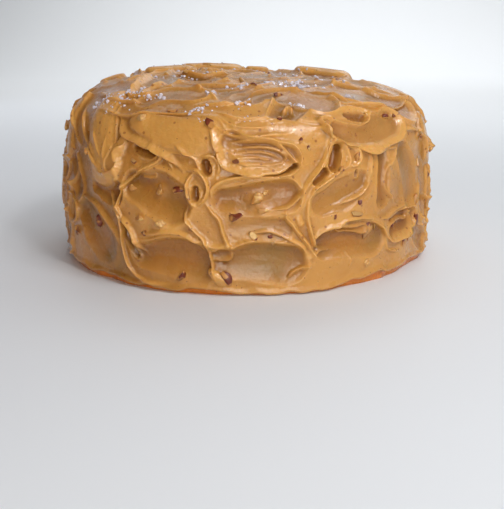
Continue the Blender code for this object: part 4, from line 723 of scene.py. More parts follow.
def random_side_swipes(rng):
    """Swipes in a jittered grid round the side, but for the front, which has its own."""
    made = []
    lowest, highest = SIDE_SWIPE_ENDS
    for row in SIDE_SWIPE_ROWS:
        for column in range(SIDE_SWIPE_COLUMNS):
            angle = (column + rng.uniform(-0.4, 0.4)) * 360 / SIDE_SWIPE_COLUMNS
            heading = math.radians(rng.uniform(-70, 70) + (180 if rng.random() < 0.4 else 0))
            length = rng.uniform(*SIDE_SWIPE_LENGTH)
            turn = math.degrees(length * math.cos(heading) * MM / WIDEST_RADIUS)
            climb = length * math.sin(heading)
            middle = row + rng.uniform(-5, 5)
            angles = (angle - turn / 2, angle + rng.uniform(-3, 3), angle + turn / 2)
            rises = (middle - climb / 2, middle + rng.uniform(-5, 5), middle + climb / 2)
            path = [(a, min(max(rise, lowest), highest)) for a, rise in zip(angles, rises)]
            made.append(random_swipe(rng, path, SIDE_SWIPE_RANGES))
    made = [made[i] for i in rng.permutation(len(made))]
    return [swipe for swipe in made if FRONT_HALF_TURN < swipe.path[1][0] < 360 - FRONT_HALF_TURN]


def random_top_swipes(rng):
    """Overlapping swipes spread over the whole top by the sunflower rule, each with a random turn."""
    made = []
    for i in range(TOP_SWIPE_COUNT):
        radius = TOP_SWIPE_SPREAD * math.sqrt((i + 0.5) / TOP_SWIPE_COUNT)
        angle = i * math.pi * (3 - math.sqrt(5)) + rng.uniform(-0.3, 0.3)
        heading = angle + math.pi / 2 + rng.uniform(-0.9, 0.9)
        length = rng.uniform(*TOP_SWIPE_LENGTH) / 2
        x, y = radius * math.cos(angle), radius * math.sin(angle)
        dx, dy = length * math.cos(heading), length * math.sin(heading)
        bend = (x + rng.uniform(-6, 6), y + rng.uniform(-6, 6))
        made.append(random_swipe(rng, [(x - dx, y - dy), bend, (x + dx, y + dy)], TOP_SWIPE_RANGES))
    return [made[i] for i in rng.permutation(len(made))]


def random_shoulder_swipes(rng):
    """Swipes drawn up over the shoulder and onto the top, behind the front."""
    made = []
    for angle in np.arange(FRONT_HALF_TURN + 10, 360 - FRONT_HALF_TURN, SHOULDER_SWIPE_STEP):
        begin, turn = angle + rng.uniform(-6, 6), rng.uniform(-14, 14)
        low = rng.uniform(*SHOULDER_SWIPE_START)
        middle = (begin + turn * rng.uniform(0.3, 0.7), low + 10)
        path = [(begin, low), middle, (begin + turn, low + rng.uniform(*SHOULDER_SWIPE_CLIMB))]
        made.append(random_swipe(rng, path, SHOULDER_SWIPE_RANGES))
    return made


def random_back_ridges(rng):
    """Loose ridges between the swipes, away from the front: most run down, some across."""
    made = []
    lowest, highest = BACK_RIDGE_ENDS
    for _ in range(BACK_RIDGES):
        angle = rng.uniform(FRONT_EDGE, 360 - FRONT_EDGE)
        rise = rng.uniform(12, 88)
        across, up = rng.uniform(-7, 7), rng.uniform(8, 22) * (1 if rng.random() < 0.5 else -1)
        swing = rng.uniform(-4, 4)
        path = [
            (angle - across, min(max(rise - up, lowest), highest)),
            (angle + swing, rise),
            (angle + across, min(max(rise + up, lowest), highest)),
        ]
        height, lean, drop = rng.uniform(1.2, 2.4), rng.uniform(-0.8, 0.8), rng.uniform(0, 0.7)
        made.append(Ridge(path, height, rng.uniform(1.1, 1.8), lean, drop))
    return made


def frosting_grid():
    """(degrees, rise in mm) of every point of a grid over the whole skin, and its number of rows.
    Its columns are crowded at the front: degrees = u - FRONT_CROWDING * sin(u)."""
    even = np.linspace(-math.pi, math.pi, GRID_COLUMNS, endpoint=False)
    degrees = np.degrees(even - FRONT_CROWDING * np.sin(even))
    top = RING_RISE[-1]
    rows = int(top / GRID_RISE_STEP)
    rise = np.linspace(0, top, rows, endpoint=False) / MM
    across, up = np.meshgrid(degrees, rise)
    return np.column_stack([across.ravel(), up.ravel()]), rows


def grid_faces(rows, columns, first_end, last_end):
    """Quads of a grid closed round its columns, and the fans that join its first row to the vertex
    first_end and its last row to the vertex last_end."""
    index = np.arange(rows * columns).reshape(rows, columns)
    right = np.roll(index, -1, axis=1)
    quads = np.stack([index[:-1], right[:-1], right[1:], index[1:]], -1).reshape(-1, 4)
    last = np.column_stack([index[-1], right[-1], np.full(columns, last_end)])
    first = np.column_stack([right[0], index[0], np.full(columns, first_end)])
    return quads, np.vstack([last, first])


def hollowness(lift, rows):
    """How far each point of the grid lies below the mean of its surroundings, weighted along the
    rows and then the columns by exp(-(steps / HOLLOW_STEPS)^2)."""
    steps = np.arange(-2 * HOLLOW_STEPS, 2 * HOLLOW_STEPS + 1)
    weights = np.exp(-((steps / HOLLOW_STEPS) ** 2))
    weights /= weights.sum()
    level = lift.reshape(rows, GRID_COLUMNS)
    around = sum(weight * np.roll(level, step, axis=1) for step, weight in zip(steps, weights))
    padded = np.pad(around, ((steps[-1], steps[-1]), (0, 0)), mode="edge")
    around = sum(weight * padded[i : i + rows] for i, weight in enumerate(weights))
    return (around - level).ravel()


def worked_frosting(nuts):
    """The frosting with all its strokes worked in, and the grid's rows."""
    places, rows = frosting_grid()
    skin, normals = skin_at(places, False)
    frosting = Frosting(skin, normals)
    rng = np.random.default_rng(SEED)
    layers = [
        (random_side_swipes(rng), frosting.swipe, False),
        (random_top_swipes(rng), frosting.swipe, True),
        (random_shoulder_swipes(np.random.default_rng(SEED + 13)), frosting.swipe, False),
        (random_back_ridges(rng), frosting.ridge, False),
        (FRONT_SCOOPS, frosting.swipe, False),
        (TOP_SWIPES, frosting.swipe, True),
        (FRONT_TONGUES, frosting.swipe, False),
        (FRONT_POCKETS, frosting.swipe, False),
        (TOP_RIDGES, frosting.ridge, True),
        (FRONT_RIDGES, frosting.ridge, False),
    ]
    for strokes, work, on_top in layers:
        for stroke in strokes:
            work(stroke, on_top)
    for nut, on_top in nuts:
        point = skin_at(nut.place, on_top)[0][0]
        height = MOUND_HEIGHTS[nut.coated] * nut.width * MM
        frosting.mound(point, nut.length * MOUND_SIZE * MM, height)
    return frosting, rows


# Pecans and salt

def all_nuts(rng):
    """Every nut with whether its place is on the top: those listed, then random ones."""
    made = [(nut, False) for nut in FRONT_NUTS]
    for i in range(BACK_NUTS):
        spread = (i + rng.uniform(0.1, 0.9)) / BACK_NUTS
        angle = FRONT_EDGE + 8 + (360 - 2 * FRONT_EDGE - 16) * spread
        length = rng.uniform(*BACK_NUT_LENGTH)
        nut = Nut((angle, rng.uniform(8, 92)), length, length * rng.uniform(0.45, 0.7),
                  rng.uniform(-90, 90), rng.uniform(0.1, 0.3), int(rng.random() < 0.3))
        made.append((nut, False))
    for i in range(TOP_NUTS):
        radius = TOP_NUT_SPREAD * math.sqrt((i + 0.5) / TOP_NUTS)
        angle = i * 2.4 + rng.uniform(-0.4, 0.4)
        length = rng.uniform(*TOP_NUT_LENGTH)
        place = (radius * math.cos(angle), radius * math.sin(angle))
        nut = Nut(place, length, length * 0.6, rng.uniform(-90, 90), 0.25, int(rng.random() < 0.25))
        made.append((nut, True))
    return made


def surface_under(tree, place, on_top):
    """The worked surface's point and facing at a place, by a ray towards the cake, and the bare
    skin's normal there."""
    point, normal = skin_at(place, on_top)
    normal = Vector(normal[0])
    start = Vector(settled(point)[0]) + normal * RAY_START
    hit, facing, _, _ = tree.ray_cast(start, -normal)
    return hit, facing, normal


def chip_shape(rng, columns=14, rows=9):
    """A broken pecan chip: a sphere's grid squashed to unit length, ribbed along its length by a
    cosine, then cut flat by random planes. Gives points, faces and how much of each point is cut
    flesh, from 0 for brown skin to 1."""
    u = np.linspace(0, 2 * math.pi, columns, endpoint=False)
    v = np.linspace(-math.pi / 2, math.pi / 2, rows + 2)[1:-1]
    turn, tilt = np.meshgrid(u, v)
    ribs = 1 + CHIP_RIB_HEIGHT * np.cos(turn * CHIP_RIBS + rng.uniform(0, 6))
    girth = np.cos(tilt)
    points = np.stack([np.sin(tilt), girth * np.cos(turn) * ribs, girth * np.sin(turn) * ribs], -1)
    points = np.vstack([points.reshape(-1, 3), [[-1, 0, 0], [1, 0, 0]]]) * 0.5
    flesh = np.zeros(len(points))
    for _ in range(rng.integers(*CHIP_CUTS, endpoint=True)):
        facing = rng.normal(size=3)
        facing /= np.linalg.norm(facing)
        beyond = points @ facing - rng.uniform(*CHIP_CUT_PLACE)
        cut = beyond > 0
        points[cut] -= beyond[cut, None] * facing
        flesh[cut] = np.maximum(flesh[cut], rng.uniform(0.0, 0.8))
    points *= rng.uniform(0.94, 1.06, (len(points), 1))
    points = (points - points.mean(0)) / np.ptp(points, axis=0)
    quads, fans = grid_faces(rows, columns, len(points) - 2, len(points) - 1)
    return points, quads.tolist() + fans.tolist(), flesh


def flake_shape(rng):
    """A salt flake: a thin plate with four to six uneven corners and a smaller raised top, as a
    broken hollow pyramid has."""
    sides = int(rng.integers(4, 7))
    angle = (np.arange(sides) + rng.uniform(-0.25, 0.25, sides)) * 2 * math.pi / sides
    reach = rng.uniform(0.38, 0.56, sides)
    rim = np.stack([np.cos(angle) * reach, np.sin(angle) * reach, np.zeros(sides)], 1)
    inner = rng.uniform(0.35, 0.8)
    offset = (rng.uniform(-0.08, 0.08), rng.uniform(-0.08, 0.08), rng.uniform(0.2, 0.42))
    top = rim * (inner, inner, 1) + offset
    points = np.vstack([rim - (0, 0, 0.12), rim, top])
    faces = [list(range(sides))[::-1], list(range(2 * sides, 3 * sides))]
    for level in (0, sides):
        for i in range(sides):
            j = (i + 1) % sides
            faces.append([level + i, level + j, level + sides + j, level + sides + i])
    return points, faces


def keep_inside(mesh, box):
    """Moves the points of a mesh that lie outside a box, (low corner, high corner), to its faces."""
    points = np.empty(len(mesh.vertices) * 3, np.float32)
    mesh.vertices.foreach_get("co", points)
    mesh.vertices.foreach_set("co", np.clip(points.reshape(-1, 3), *box).astype(np.float32).ravel())
    mesh.update()


def joined_mesh(name, parts):
    """One object from many (points, faces, values); values, one a point, becomes the attribute
    "flesh"."""
    points, faces, values, start = [], [], [], 0
    for part_points, part_faces, part_values in parts:
        points.append(part_points)
        values.append(part_values)
        faces.extend([[start + i for i in face] for face in part_faces])
        start += len(part_points)
    mesh = bpy.data.meshes.new(name)
    mesh.from_pydata(np.vstack(points).tolist(), [], faces)
    keep_inside(mesh, CAD_BOX)
    mesh.attributes.new("flesh", "FLOAT", "POINT").data.foreach_set("value", np.concatenate(values))
    mesh.validate()
    made = bpy.data.objects.new(name, mesh)
    bpy.context.scene.collection.objects.link(made)
    return made


# Materials

def linear(hex_colour):
    """An sRGB hex colour as linear RGBA."""
    channels = [int(hex_colour[i : i + 2], 16) / 255 for i in (1, 3, 5)]
    return [c / 12.92 if c <= 0.04045 else ((c + 0.055) / 1.055) ** 2.4 for c in channels] + [1.0]


def add_node(tree, kind, output, links=(), **settings):
    """Adds a node with its settings and gives one of its outputs. links are (socket, where it
    comes from or its value)."""
    node = tree.nodes.new(kind)
    for key, value in settings.items():
        setattr(node, key, value)
    for socket, source in links:
        if isinstance(source, bpy.types.NodeSocket):
            tree.links.new(source, node.inputs[socket])
        else:
            node.inputs[socket].default_value = source
    return node.outputs[output]


def new_material(name, finish):
    """A node material and its Principled shader, with the shader's own sockets set."""
    material = bpy.data.materials.new(name)
    material.use_nodes = True
    shader = material.node_tree.nodes["Principled BSDF"]
    for socket, value in finish.items():
        shader.inputs[socket].default_value = value
    return material, material.node_tree, shader


def paint(tree, socket, ground, coats):
    """Colours a socket with a ground and coats over it, each as (share, sRGB hex): every coat
    covers what lies under it by its share."""
    colour = linear(ground)
    for share, tone in coats:
        links = [(0, share), (6, colour), (7, linear(tone))]
        colour = add_node(tree, "ShaderNodeMix", 2, links, data_type="RGBA")
    tree.links.new(colour, socket)


def caramel_material(style):
    """Cooked caramel and butter frosting, spread with a spatula: an opaque, slightly oily cream
    that light sinks a little way into. Raised crests are painted paler, partly the tone of thick
    frosting and partly a painted highlight. Thin floors are olive brown. The grooves get painted
    shade, darker where the surface lies below its surroundings. Tiny burnt sugar and vanilla specks
    show all over."""
    material, tree, shader = new_material("spread_caramel_frosting", {
        "Subsurface Weight": 0.22,
        "Subsurface Radius": (1.0, 0.45, 0.18),
        "Subsurface Scale": 0.0018,
        "IOR": 1.46,
        "Coat Weight": 0.3,
        "Coat Roughness": 0.08,
    })
    place = add_node(tree, "ShaderNodeTexCoord", "Object")
    lift, hollow, under = (
        add_node(tree, "ShaderNodeAttribute", "Fac", attribute_name=name)
        for name in ("lift", "hollow", "under")
    )
    patches, oily, curds = (
        add_node(
            tree, "ShaderNodeTexNoise", "Fac",
            [("Vector", place), ("Scale", 1 / size), ("Detail", detail)],
        )
        for size, detail in ((THIN_PATCH_SIZE, 2.0), (OILY_PATCH_SIZE, 3.0), (CURD_SIZE, 4.0))
    )
    # Shares that grow from 0 as a value goes from low to high: of the pale colour where it stands
    # thick, in millimetres off the skin, partly its tone and partly a painted highlight on the crests;
    # of the olive of shallow places and of patches there; of the painted shade in the grooves; and of
    # the bare caramel under the bottom lip
    crests, shallow, patch, deep, bare = (
        add_node(
            tree, "ShaderNodeMapRange", "Result",
            [("Value", source), ("From Min", low), ("From Max", high), ("To Max", most)],
        )
        for source, low, high, most in (
            (lift, -2.6, 2.4, 1.0),
            (lift, 0.2, -1.8, 1.0),
            (patches, 0.42, 0.68, 1.0),
            (hollow, 0.15, 1.2, GROOVE_SHADE_STRENGTH),
            (under, 0.3, 0.9, 1.0),
        )
    )
    thin = add_node(tree, "ShaderNodeMath", "Value", [(0, patch), (1, shallow)], operation="MULTIPLY")
    coats = [
        # partly the paler tone of thick frosting, partly a painted highlight on the raised crests
        (crests, style.crest_and_highlight_colour),
        (thin, style.thin_colour),
        # painted shade, darker in the grooves and hollows where shade falls
        (deep, style.groove_shade_colour),
        (bare, style.edge_colour),
    ]
    # Specks: round spots at the middle of some of the cells
    for cell, radius, tone in (
        (SPECK_CELL, SPECK_RADIUS, style.speck_colour),
        (CRUMB_CELL, CRUMB_RADIUS, style.crumb_colour),
    ):
        distance = add_node(
            tree, "ShaderNodeTexVoronoi", "Distance", [("Vector", place), ("Scale", 1 / cell)]
        )
        number = add_node(tree, "ShaderNodeSeparateColor", "Red", [(0, distance.node.outputs["Color"])])
        chosen = add_node(
            tree, "ShaderNodeMath", "Value", [(0, number), (1, 1 - SPECK_SHARE)], operation="GREATER_THAN"
        )
        spot = add_node(
            tree, "ShaderNodeMapRange", "Result",
            [("Value", distance), ("From Min", radius), ("From Max", radius - SPECK_EDGE),
             ("To Max", SPECK_STRENGTH)],
        )
        shown = add_node(tree, "ShaderNodeMath", "Value", [(0, spot), (1, chosen)], operation="MULTIPLY")
        coats.append((shown, tone))
    paint(tree, shader.inputs["Base Color"], style.floor_colour, coats)
    # Gloss that comes and goes where the butter has come out
    rough = add_node(
        tree, "ShaderNodeMapRange", "Result",
        [("Value", oily), ("From Min", 0.3), ("From Max", 0.7), ("To Min", 0.20), ("To Max", 0.36)],
    )
    tree.links.new(rough, shader.inputs["Roughness"])
    # Fine lines left by the blade, drawn out along its way; drag is in millimetres
    drag = add_node(tree, "ShaderNodeAttribute", "Vector", attribute_name="drag")
    stretch = (MM / BLADE_LINE_SPACING, MM / BLADE_LINE_LENGTH, 1)
    drawn = add_node(tree, "ShaderNodeMapping", "Vector", [("Vector", drag), ("Scale", stretch)])
    lines = add_node(
        tree, "ShaderNodeTexNoise", "Fac", [("Vector", drawn), ("Scale", 1.0), ("Detail", 2.0)]
    )
    combed = add_node(
        tree, "ShaderNodeBump", "Normal",
        [("Height", lines), ("Distance", BLADE_LINE_DEPTH), ("Strength", 0.45)],
    )
    # Fine curds of the cooked sugar, on top of the lines
    relief = add_node(
        tree, "ShaderNodeBump", "Normal",
        [("Height", curds), ("Distance", CURD_DEPTH), ("Strength", 0.8), ("Normal", combed)],
    )
    tree.links.new(relief, shader.inputs["Normal"])
    return material


def pecan_material(style):
    """Chopped toasted pecans: thin red-brown skin over cream flesh, glazed here and there by the
    frosting that stuck to them. The attribute "flesh" is 0 on skin, 1 on a cut and over 1.5 where
    frosting hides the nut."""
    material, tree, shader = new_material("toasted_pecan", {
        "Roughness": 0.32,
        "Subsurface Weight": 0.12,
        "Subsurface Radius": (1.0, 0.4, 0.2),
        "Subsurface Scale": 0.002,
    })
    place = add_node(tree, "ShaderNodeTexCoord", "Object")
    flesh = add_node(tree, "ShaderNodeAttribute", "Fac", attribute_name="flesh")
    grain, smears = (
        add_node(
            tree, "ShaderNodeTexNoise", "Fac",
            [("Vector", place), ("Scale", 1 / size), ("Detail", detail)],
        )
        for size, detail in ((SKIN_GRAIN_SIZE, 3.0), (SMEAR_SIZE, 1.0))
    )
    cut, buried, smeared = (
        add_node(
            tree, "ShaderNodeMapRange", "Result",
            [("Value", source), ("From Min", low), ("From Max", high)],
        )
        for source, low, high in ((flesh, 0.25, 0.75), (flesh, 1.2, 1.8), (smears, 0.50, 0.57))
    )
    covered = add_node(tree, "ShaderNodeMath", "Value", [(0, smeared), (1, buried)], operation="MAXIMUM")
    coats = [(grain, style.skin_light), (cut, style.flesh_colour), (covered, style.glaze_colour)]
    paint(tree, shader.inputs["Base Color"], style.skin_dark, coats)
    relief = add_node(
        tree, "ShaderNodeBump", "Normal",
        [("Height", grain), ("Distance", SKIN_GRAIN_DEPTH), ("Strength", 0.7)],
    )
    tree.links.new(relief, shader.inputs["Normal"])
    return material


def salt_material(style):
    """Sea salt flakes: clear crystal with milky faces, so they read as bright frosty chips."""
    material, tree, shader = new_material("sea_salt_flake", {
        "Roughness": 0.22,
        "IOR": 1.54,
        "Subsurface Weight": 0.45,
        "Subsurface Radius": (1.0, 1.0, 1.0),
        "Subsurface Scale": 0.0015,
    })
    place = add_node(tree, "ShaderNodeTexCoord", "Object")
    milk = add_node(
        tree, "ShaderNodeTexNoise", "Fac", [("Vector", place), ("Scale", 1 / MILK_SIZE), ("Detail", 2.0)]
    )
    paint(tree, shader.inputs["Base Color"], style.salt_shade, [(milk, style.salt_colour)])
    return material


def table_material(style):
    """A plain matt paint: the studio table stays quiet round the cake."""
    finish = {"Base Color": linear(style.table_colour), "Roughness": 0.6, "Specular IOR Level": 0.2}
    return new_material("pale_table", finish)[0]


# Add-on

def colour_property(name, description, default):
    """A text setting that holds an sRGB hex colour."""
    return bpy.props.StringProperty(name=name, description=description, default=default)


class CakeFrostingSettings(bpy.types.PropertyGroup):
    """Colours of the caramel frosting, with a painted highlight on its crests and painted shade in its
    grooves
    """

    floor_colour: colour_property("Floor colour", "Frosting in the scoops, sRGB hex", "#a56c29")
    # Partly the paler tone of thick frosting, partly a painted highlight on the raised crests
    crest_and_highlight_colour: colour_property("Crest colour", "Frosting where it stands thick, sRGB hex", "#d29a4e")
    thin_colour: colour_property("Thin colour", "Frosting spread thin over cake, sRGB hex", "#92692c")
    # Painted shade: the colour laid into the grooves and hollows where shade falls
    groove_shade_colour: colour_property("Hollow colour", "Frosting deep in the grooves, sRGB hex", "#6a3510")
    edge_colour: colour_property("Edge colour", "Bare caramel at the bottom edge, sRGB hex", "#c97524")
    speck_colour: colour_property("Speck colour", "Burnt sugar specks, sRGB hex", "#6e3a1a")
    crumb_colour: colour_property("Crumb colour", "Small nut crumbs, sRGB hex", "#8f5526")


class CakeToppingSettings(bpy.types.PropertyGroup):
    """Colours of the pecans, and colours and sizes of the salt flakes"""

    skin_dark: colour_property("Dark skin", "Pecan skin in shade, sRGB hex", "#4a1c14")
    skin_light: colour_property("Light skin", "Pecan skin where it is lit, sRGB hex", "#8a3c1c")
    flesh_colour: colour_property("Flesh", "Broken pecan flesh, sRGB hex", "#d8ae6a")
    glaze_colour: colour_property("Glaze", "Frosting stuck to the nuts, sRGB hex", "#bd8442")
    salt_colour: colour_property("Salt", "Lit salt flakes, sRGB hex", "#e4dce3")
    salt_shade: colour_property("Salt shade", "Milky salt, sRGB hex", "#c8bdc6")
    smallest_flake: bpy.props.FloatProperty(
        name="Smallest flake", description="Width of the smallest salt flake",
        default=0.0007, precision=5, unit="LENGTH",
    )
    largest_flake: bpy.props.FloatProperty(
        name="Largest flake", description="Width of the largest salt flake",
        default=0.0029, precision=5, unit="LENGTH",
    )


class CakeStageSettings(bpy.types.PropertyGroup):
    """Colour of the table, and where the camera stands"""

    table_colour: colour_property("Table", "Pale table under the cake, sRGB hex", "#e6eaed")
    lens: bpy.props.FloatProperty(name="Lens", description="Focal length on a 36 mm sensor", default=60.0)
    distance: bpy.props.FloatProperty(
        name="Distance", description="From the camera to the cake's axis", default=0.550, unit="LENGTH"
    )
    height: bpy.props.FloatProperty(
        name="Height", description="Of the camera over the table", default=0.1478, unit="LENGTH"
    )
    aside: bpy.props.FloatProperty(
        name="Aside", description="Of the camera to the right of the axis", default=0.0045, unit="LENGTH"
    )
    pitch: bpy.props.FloatProperty(
        name="Pitch", description="How far the camera looks down",
        default=math.radians(15.95), subtype="ANGLE",
    )
    roll: bpy.props.FloatProperty(
        name="Roll", description="How far the camera is turned counterclockwise",
        default=math.radians(-0.6), subtype="ANGLE",
    )


class CAKE_OT_frosting(bpy.types.Operator):
    """Spreads the caramel frosting over the cake"""

    bl_idname = "cake.frosting"
    bl_label = "Frosting"

    def execute(self, context):
        nuts = all_nuts(np.random.default_rng(SEED + 7))
        frosting, rows = worked_frosting(nuts)
        points, under = frosting.placed()
        ends = [[LEAN, 0, points[-1, 2]], [0, 0, 0]]
        points = np.vstack([points, ends])
        quads, fans = grid_faces(rows, GRID_COLUMNS, len(points) - 1, len(points) - 2)
        mesh = bpy.data.meshes.new("frosting")
        mesh.from_pydata(points, [], quads.tolist() + fans.tolist())
        for name, values in (
            ("lift", np.append(frosting.lift, [0, 0]) / MM),
            # how far each point lies below its surroundings, the mask of the painted shade in the grooves
            ("hollow", np.append(hollowness(frosting.lift, rows), [0, 0]) / MM),
            ("under", np.append(under, [0, 1])),
        ):
            mesh.attributes.new(name, "FLOAT", "POINT").data.foreach_set("value", values)
        drag = np.zeros((len(points), 3))
        drag[:-2, :2] = frosting.drag
        mesh.attributes.new("drag", "FLOAT_VECTOR", "POINT").data.foreach_set("vector", drag.ravel())
        made = bpy.data.objects.new("caramel_frosting", mesh)
        context.scene.collection.objects.link(made)
        thin = made.modifiers.new("thin", "DECIMATE")
        thinned = made.vertex_groups.new(name="thinned")
        thinned.add(range(2 * GRID_COLUMNS, rows * GRID_COLUMNS + 1), 1.0, "REPLACE")
        thin.vertex_group = thinned.name
        thin.ratio = FROSTING_TRIANGLES / (2 * len(quads) + len(fans))
        thin.use_collapse_triangulate = True
        graph = context.evaluated_depsgraph_get()
        made.data = bpy.data.meshes.new_from_object(made.evaluated_get(graph))
        made.modifiers.clear()
        keep_inside(made.data, CAD_BOX)
        made.data.materials.append(caramel_material(context.scene.cake_frosting))
        made.data.shade_smooth()
        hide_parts("frosted_cake")
        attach(made, "root")
        return {"FINISHED"}


def frosting_tree():
    """The frosting's surface, to set the toppings on."""
    mesh = bpy.data.objects["caramel_frosting"].data
    points = np.empty(len(mesh.vertices) * 3)
    mesh.vertices.foreach_get("co", points)
    faces = np.empty(len(mesh.loops), np.int32)
    mesh.loops.foreach_get("vertex_index", faces)
    return BVHTree.FromPolygons(points.reshape(-1, 3).tolist(), faces.reshape(-1, 3).tolist())


class CAKE_OT_pecans(bpy.types.Operator):
    """Sets chopped pecan pieces in the frosting"""

    bl_idname = "cake.pecans"
    bl_label = "Pecan pieces"

    def execute(self, context):
        tree = frosting_tree()
        rng = np.random.default_rng(SEED + 9)
        parts = []
        for nut, on_top in all_nuts(np.random.default_rng(SEED + 7)):
            hit, _, normal = surface_under(tree, nut.place, on_top)
            points, faces, flesh = chip_shape(rng)
            if hit is None:
                continue
            level = Vector((1, 0, 0)) if on_top else Vector((0, 0, 1)).cross(normal)
            level.normalize()
            upward = normal.cross(level)
            turn = math.radians(nut.turn)
            ahead = level * math.cos(turn) + upward * math.sin(turn)
            axes = np.array([ahead, normal.cross(ahead), normal])
            size = np.array([nut.length, nut.width, nut.width * CHIP_THICKNESS]) * MM
            centre = np.array(hit + normal * (nut.stand - CHIP_SINK) * nut.width * CHIP_THICKNESS * MM)
            if nut.coated:
                flesh = np.full(len(flesh), 0.9) + (rng.random(len(flesh)) < 0.5)
            parts.append(((points * size) @ axes + centre, faces, flesh))
        made = joined_mesh("pecan_pieces", parts)
        made.data.materials.append(pecan_material(context.scene.cake_topping))
        made.data.shade_smooth()
        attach(made, "root")
        return {"FINISHED"}


class CAKE_OT_salt(bpy.types.Operator):
    """Scatters sea salt flakes on the top"""

    bl_idname = "cake.salt"
    bl_label = "Salt flakes"

    def execute(self, context):
        style = context.scene.cake_topping
        smallest, largest = style.smallest_flake, style.largest_flake
        tree = frosting_tree()
        rng = np.random.default_rng(SEED + 11)
        parts = []
        for x, y, spread, count in SALT_CLUSTERS:
            for _ in range(count):
                place = (x + rng.normal(0, spread / 2), y + rng.normal(0, spread / 2.6))
                size = smallest + (largest - smallest) * rng.random() ** 2
                points, faces = flake_shape(rng)
                spin, tip = rng.uniform(0, 2 * math.pi), rng.uniform(-SALT_TIP, SALT_TIP)
                if math.hypot(*place) > SALT_EDGE:
                    continue
                hit, facing, _ = surface_under(tree, place, True)
                if hit is None:
                    continue
                turn = facing.to_track_quat("Z", "X").to_matrix()
                turn = turn @ Matrix.Rotation(spin, 3, "Z") @ Matrix.Rotation(tip, 3, "X")
                placed = (points * size) @ np.array(turn).T + np.array(hit + facing * size * SALT_LIFT)
                parts.append((placed, faces, np.zeros(len(points))))
        made = joined_mesh("salt_flakes", parts)
        made.data.materials.append(salt_material(style))
        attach(made, "root")
        return {"FINISHED"}


def sweep_table(half_width, back, bend, height):
    """A table that turns up behind into a wall along a quarter circle: its section is (back +
    bend * sin a, bend * (1 - cos a)), carried straight across."""
    turn = np.linspace(0, math.pi / 2, 24)
    y = np.concatenate([[-half_width], back + bend * np.sin(turn), [back + bend]])
    z = np.concatenate([[0], bend * (1 - np.cos(turn)), [height]])
    across = np.array([-half_width, half_width])
    points = np.stack([np.repeat(across, len(y)), np.tile(y, 2), np.tile(z, 2)], 1)
    count = len(y)
    faces = [(i, count + i, count + i + 1, i + 1) for i in range(count - 1)]
    mesh = bpy.data.meshes.new("table")
    mesh.from_pydata(points.tolist(), [], faces)
    mesh.shade_smooth()
    table = bpy.data.objects.new("table", mesh)
    bpy.context.scene.collection.objects.link(table)
    return table


class CAKE_OT_stage(bpy.types.Operator):
    """Lays the pale table, and sets the lights and the camera"""

    bl_idname = "cake.stage"
    bl_label = "Stage"

    def execute(self, context):
        style = context.scene.cake_stage
        table = sweep_table(TABLE_HALF_WIDTH, TABLE_BACK, WALL_BEND, WALL_HEIGHT)
        table.data.materials.append(table_material(style))
        for lamp in LAMPS:
            add_soft_light(lamp)
        light_room(context.scene)
        set_camera(context.scene, style)
        return {"FINISHED"}


def add_soft_light(lamp):
    """A square soft light, out of the camera's sight."""
    data = bpy.data.lights.new(lamp.name, "AREA")
    data.energy = lamp.power
    data.size = lamp.size
    data.color = linear(lamp.colour)[:3]
    data.spread = math.radians(lamp.spread)
    light = bpy.data.objects.new(lamp.name, data)
    light.location = lamp.place
    away = Vector(lamp.place) - Vector(lamp.aim)
    light.rotation_euler = away.to_track_quat("Z", "Y").to_euler()
    light.visible_camera = False
    bpy.context.scene.collection.objects.link(light)


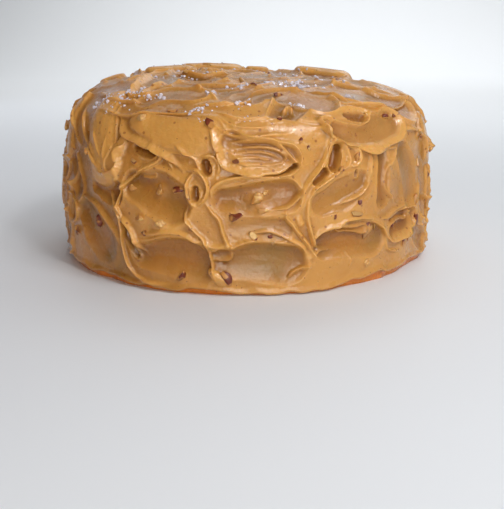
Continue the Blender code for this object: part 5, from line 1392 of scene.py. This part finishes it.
def light_room(scene):
    """The room's own light: dim and warm from the left, brighter and cooler to the right. Seen
    directly it is plain and pale, so every view has the same quiet background."""
    scene.world = bpy.data.worlds.new("studio")
    scene.world.use_nodes = True
    tree = scene.world.node_tree
    sky = tree.nodes["Background"]
    way = add_node(tree, "ShaderNodeTexCoord", "Generated")
    across = add_node(tree, "ShaderNodeSeparateXYZ", "X", [(0, way)])
    seen = add_node(tree, "ShaderNodeLightPath", "Is Camera Ray")
    cool = add_node(
        tree, "ShaderNodeMapRange", "Result", [("Value", across), ("From Min", -1.0), ("From Max", 0.4)]
    )
    coats = [(cool, ROOM_RIGHT_COLOUR), (seen, ROOM_SEEN_COLOUR)]
    paint(tree, sky.inputs["Color"], ROOM_LEFT_COLOUR, coats)
    glow = add_node(
        tree, "ShaderNodeMapRange", "Result",
        [("Value", across), ("From Min", -1.0), ("From Max", 1.0),
         ("To Min", ROOM_LEFT_GLOW), ("To Max", ROOM_RIGHT_GLOW)],
    )
    level = add_node(
        tree, "ShaderNodeMix", "Result", [("Factor", seen), ("A", glow), ("B", ROOM_SEEN_GLOW)]
    )
    tree.links.new(level, sky.inputs["Strength"])


def set_camera(scene, style):
    """The camera in front of the cake, looking down at it by its pitch."""
    camera = bpy.data.objects.new("camera", bpy.data.cameras.new("camera"))
    scene.collection.objects.link(camera)
    camera.data.lens = style.lens
    camera.data.sensor_width = 36.0
    camera.location = (style.aside, -style.distance, style.height)
    look = Matrix.Rotation(math.pi / 2 - style.pitch, 3, "X") @ Matrix.Rotation(style.roll, 3, "Z")
    camera.rotation_euler = look.to_euler()
    scene.camera = camera
    scene.view_settings.view_transform = "Standard"


class CAKE_PT_panel(bpy.types.Panel):
    """Lists the steps that dress the cake"""

    bl_idname = "CAKE_PT_panel"
    bl_label = "Caramel layer cake"
    bl_space_type = "VIEW_3D"
    bl_region_type = "UI"
    bl_category = "Cake"

    def draw(self, context):
        for operator in OPERATORS:
            self.layout.operator(operator.bl_idname)


SETTINGS = {
    "cake_frosting": CakeFrostingSettings,
    "cake_topping": CakeToppingSettings,
    "cake_stage": CakeStageSettings,
}
OPERATORS = [CAKE_OT_frosting, CAKE_OT_pecans, CAKE_OT_salt, CAKE_OT_stage]


def register():
    """Adds the classes, and their settings to the scene."""
    for kind in [*SETTINGS.values(), *OPERATORS, CAKE_PT_panel]:
        bpy.utils.register_class(kind)
    for name, kind in SETTINGS.items():
        setattr(bpy.types.Scene, name, bpy.props.PointerProperty(type=kind))


def unregister():
    """Takes away what register added."""
    for name in SETTINGS:
        delattr(bpy.types.Scene, name)
    for kind in [CAKE_PT_panel, *OPERATORS[::-1], *SETTINGS.values()]:
        bpy.utils.unregister_class(kind)


def main():
    """Dresses the cake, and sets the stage."""
    register()
    bpy.ops.cake.frosting()
    bpy.ops.cake.pecans()
    bpy.ops.cake.salt()
    bpy.ops.cake.stage()


if __name__ == "__main__":
    main()
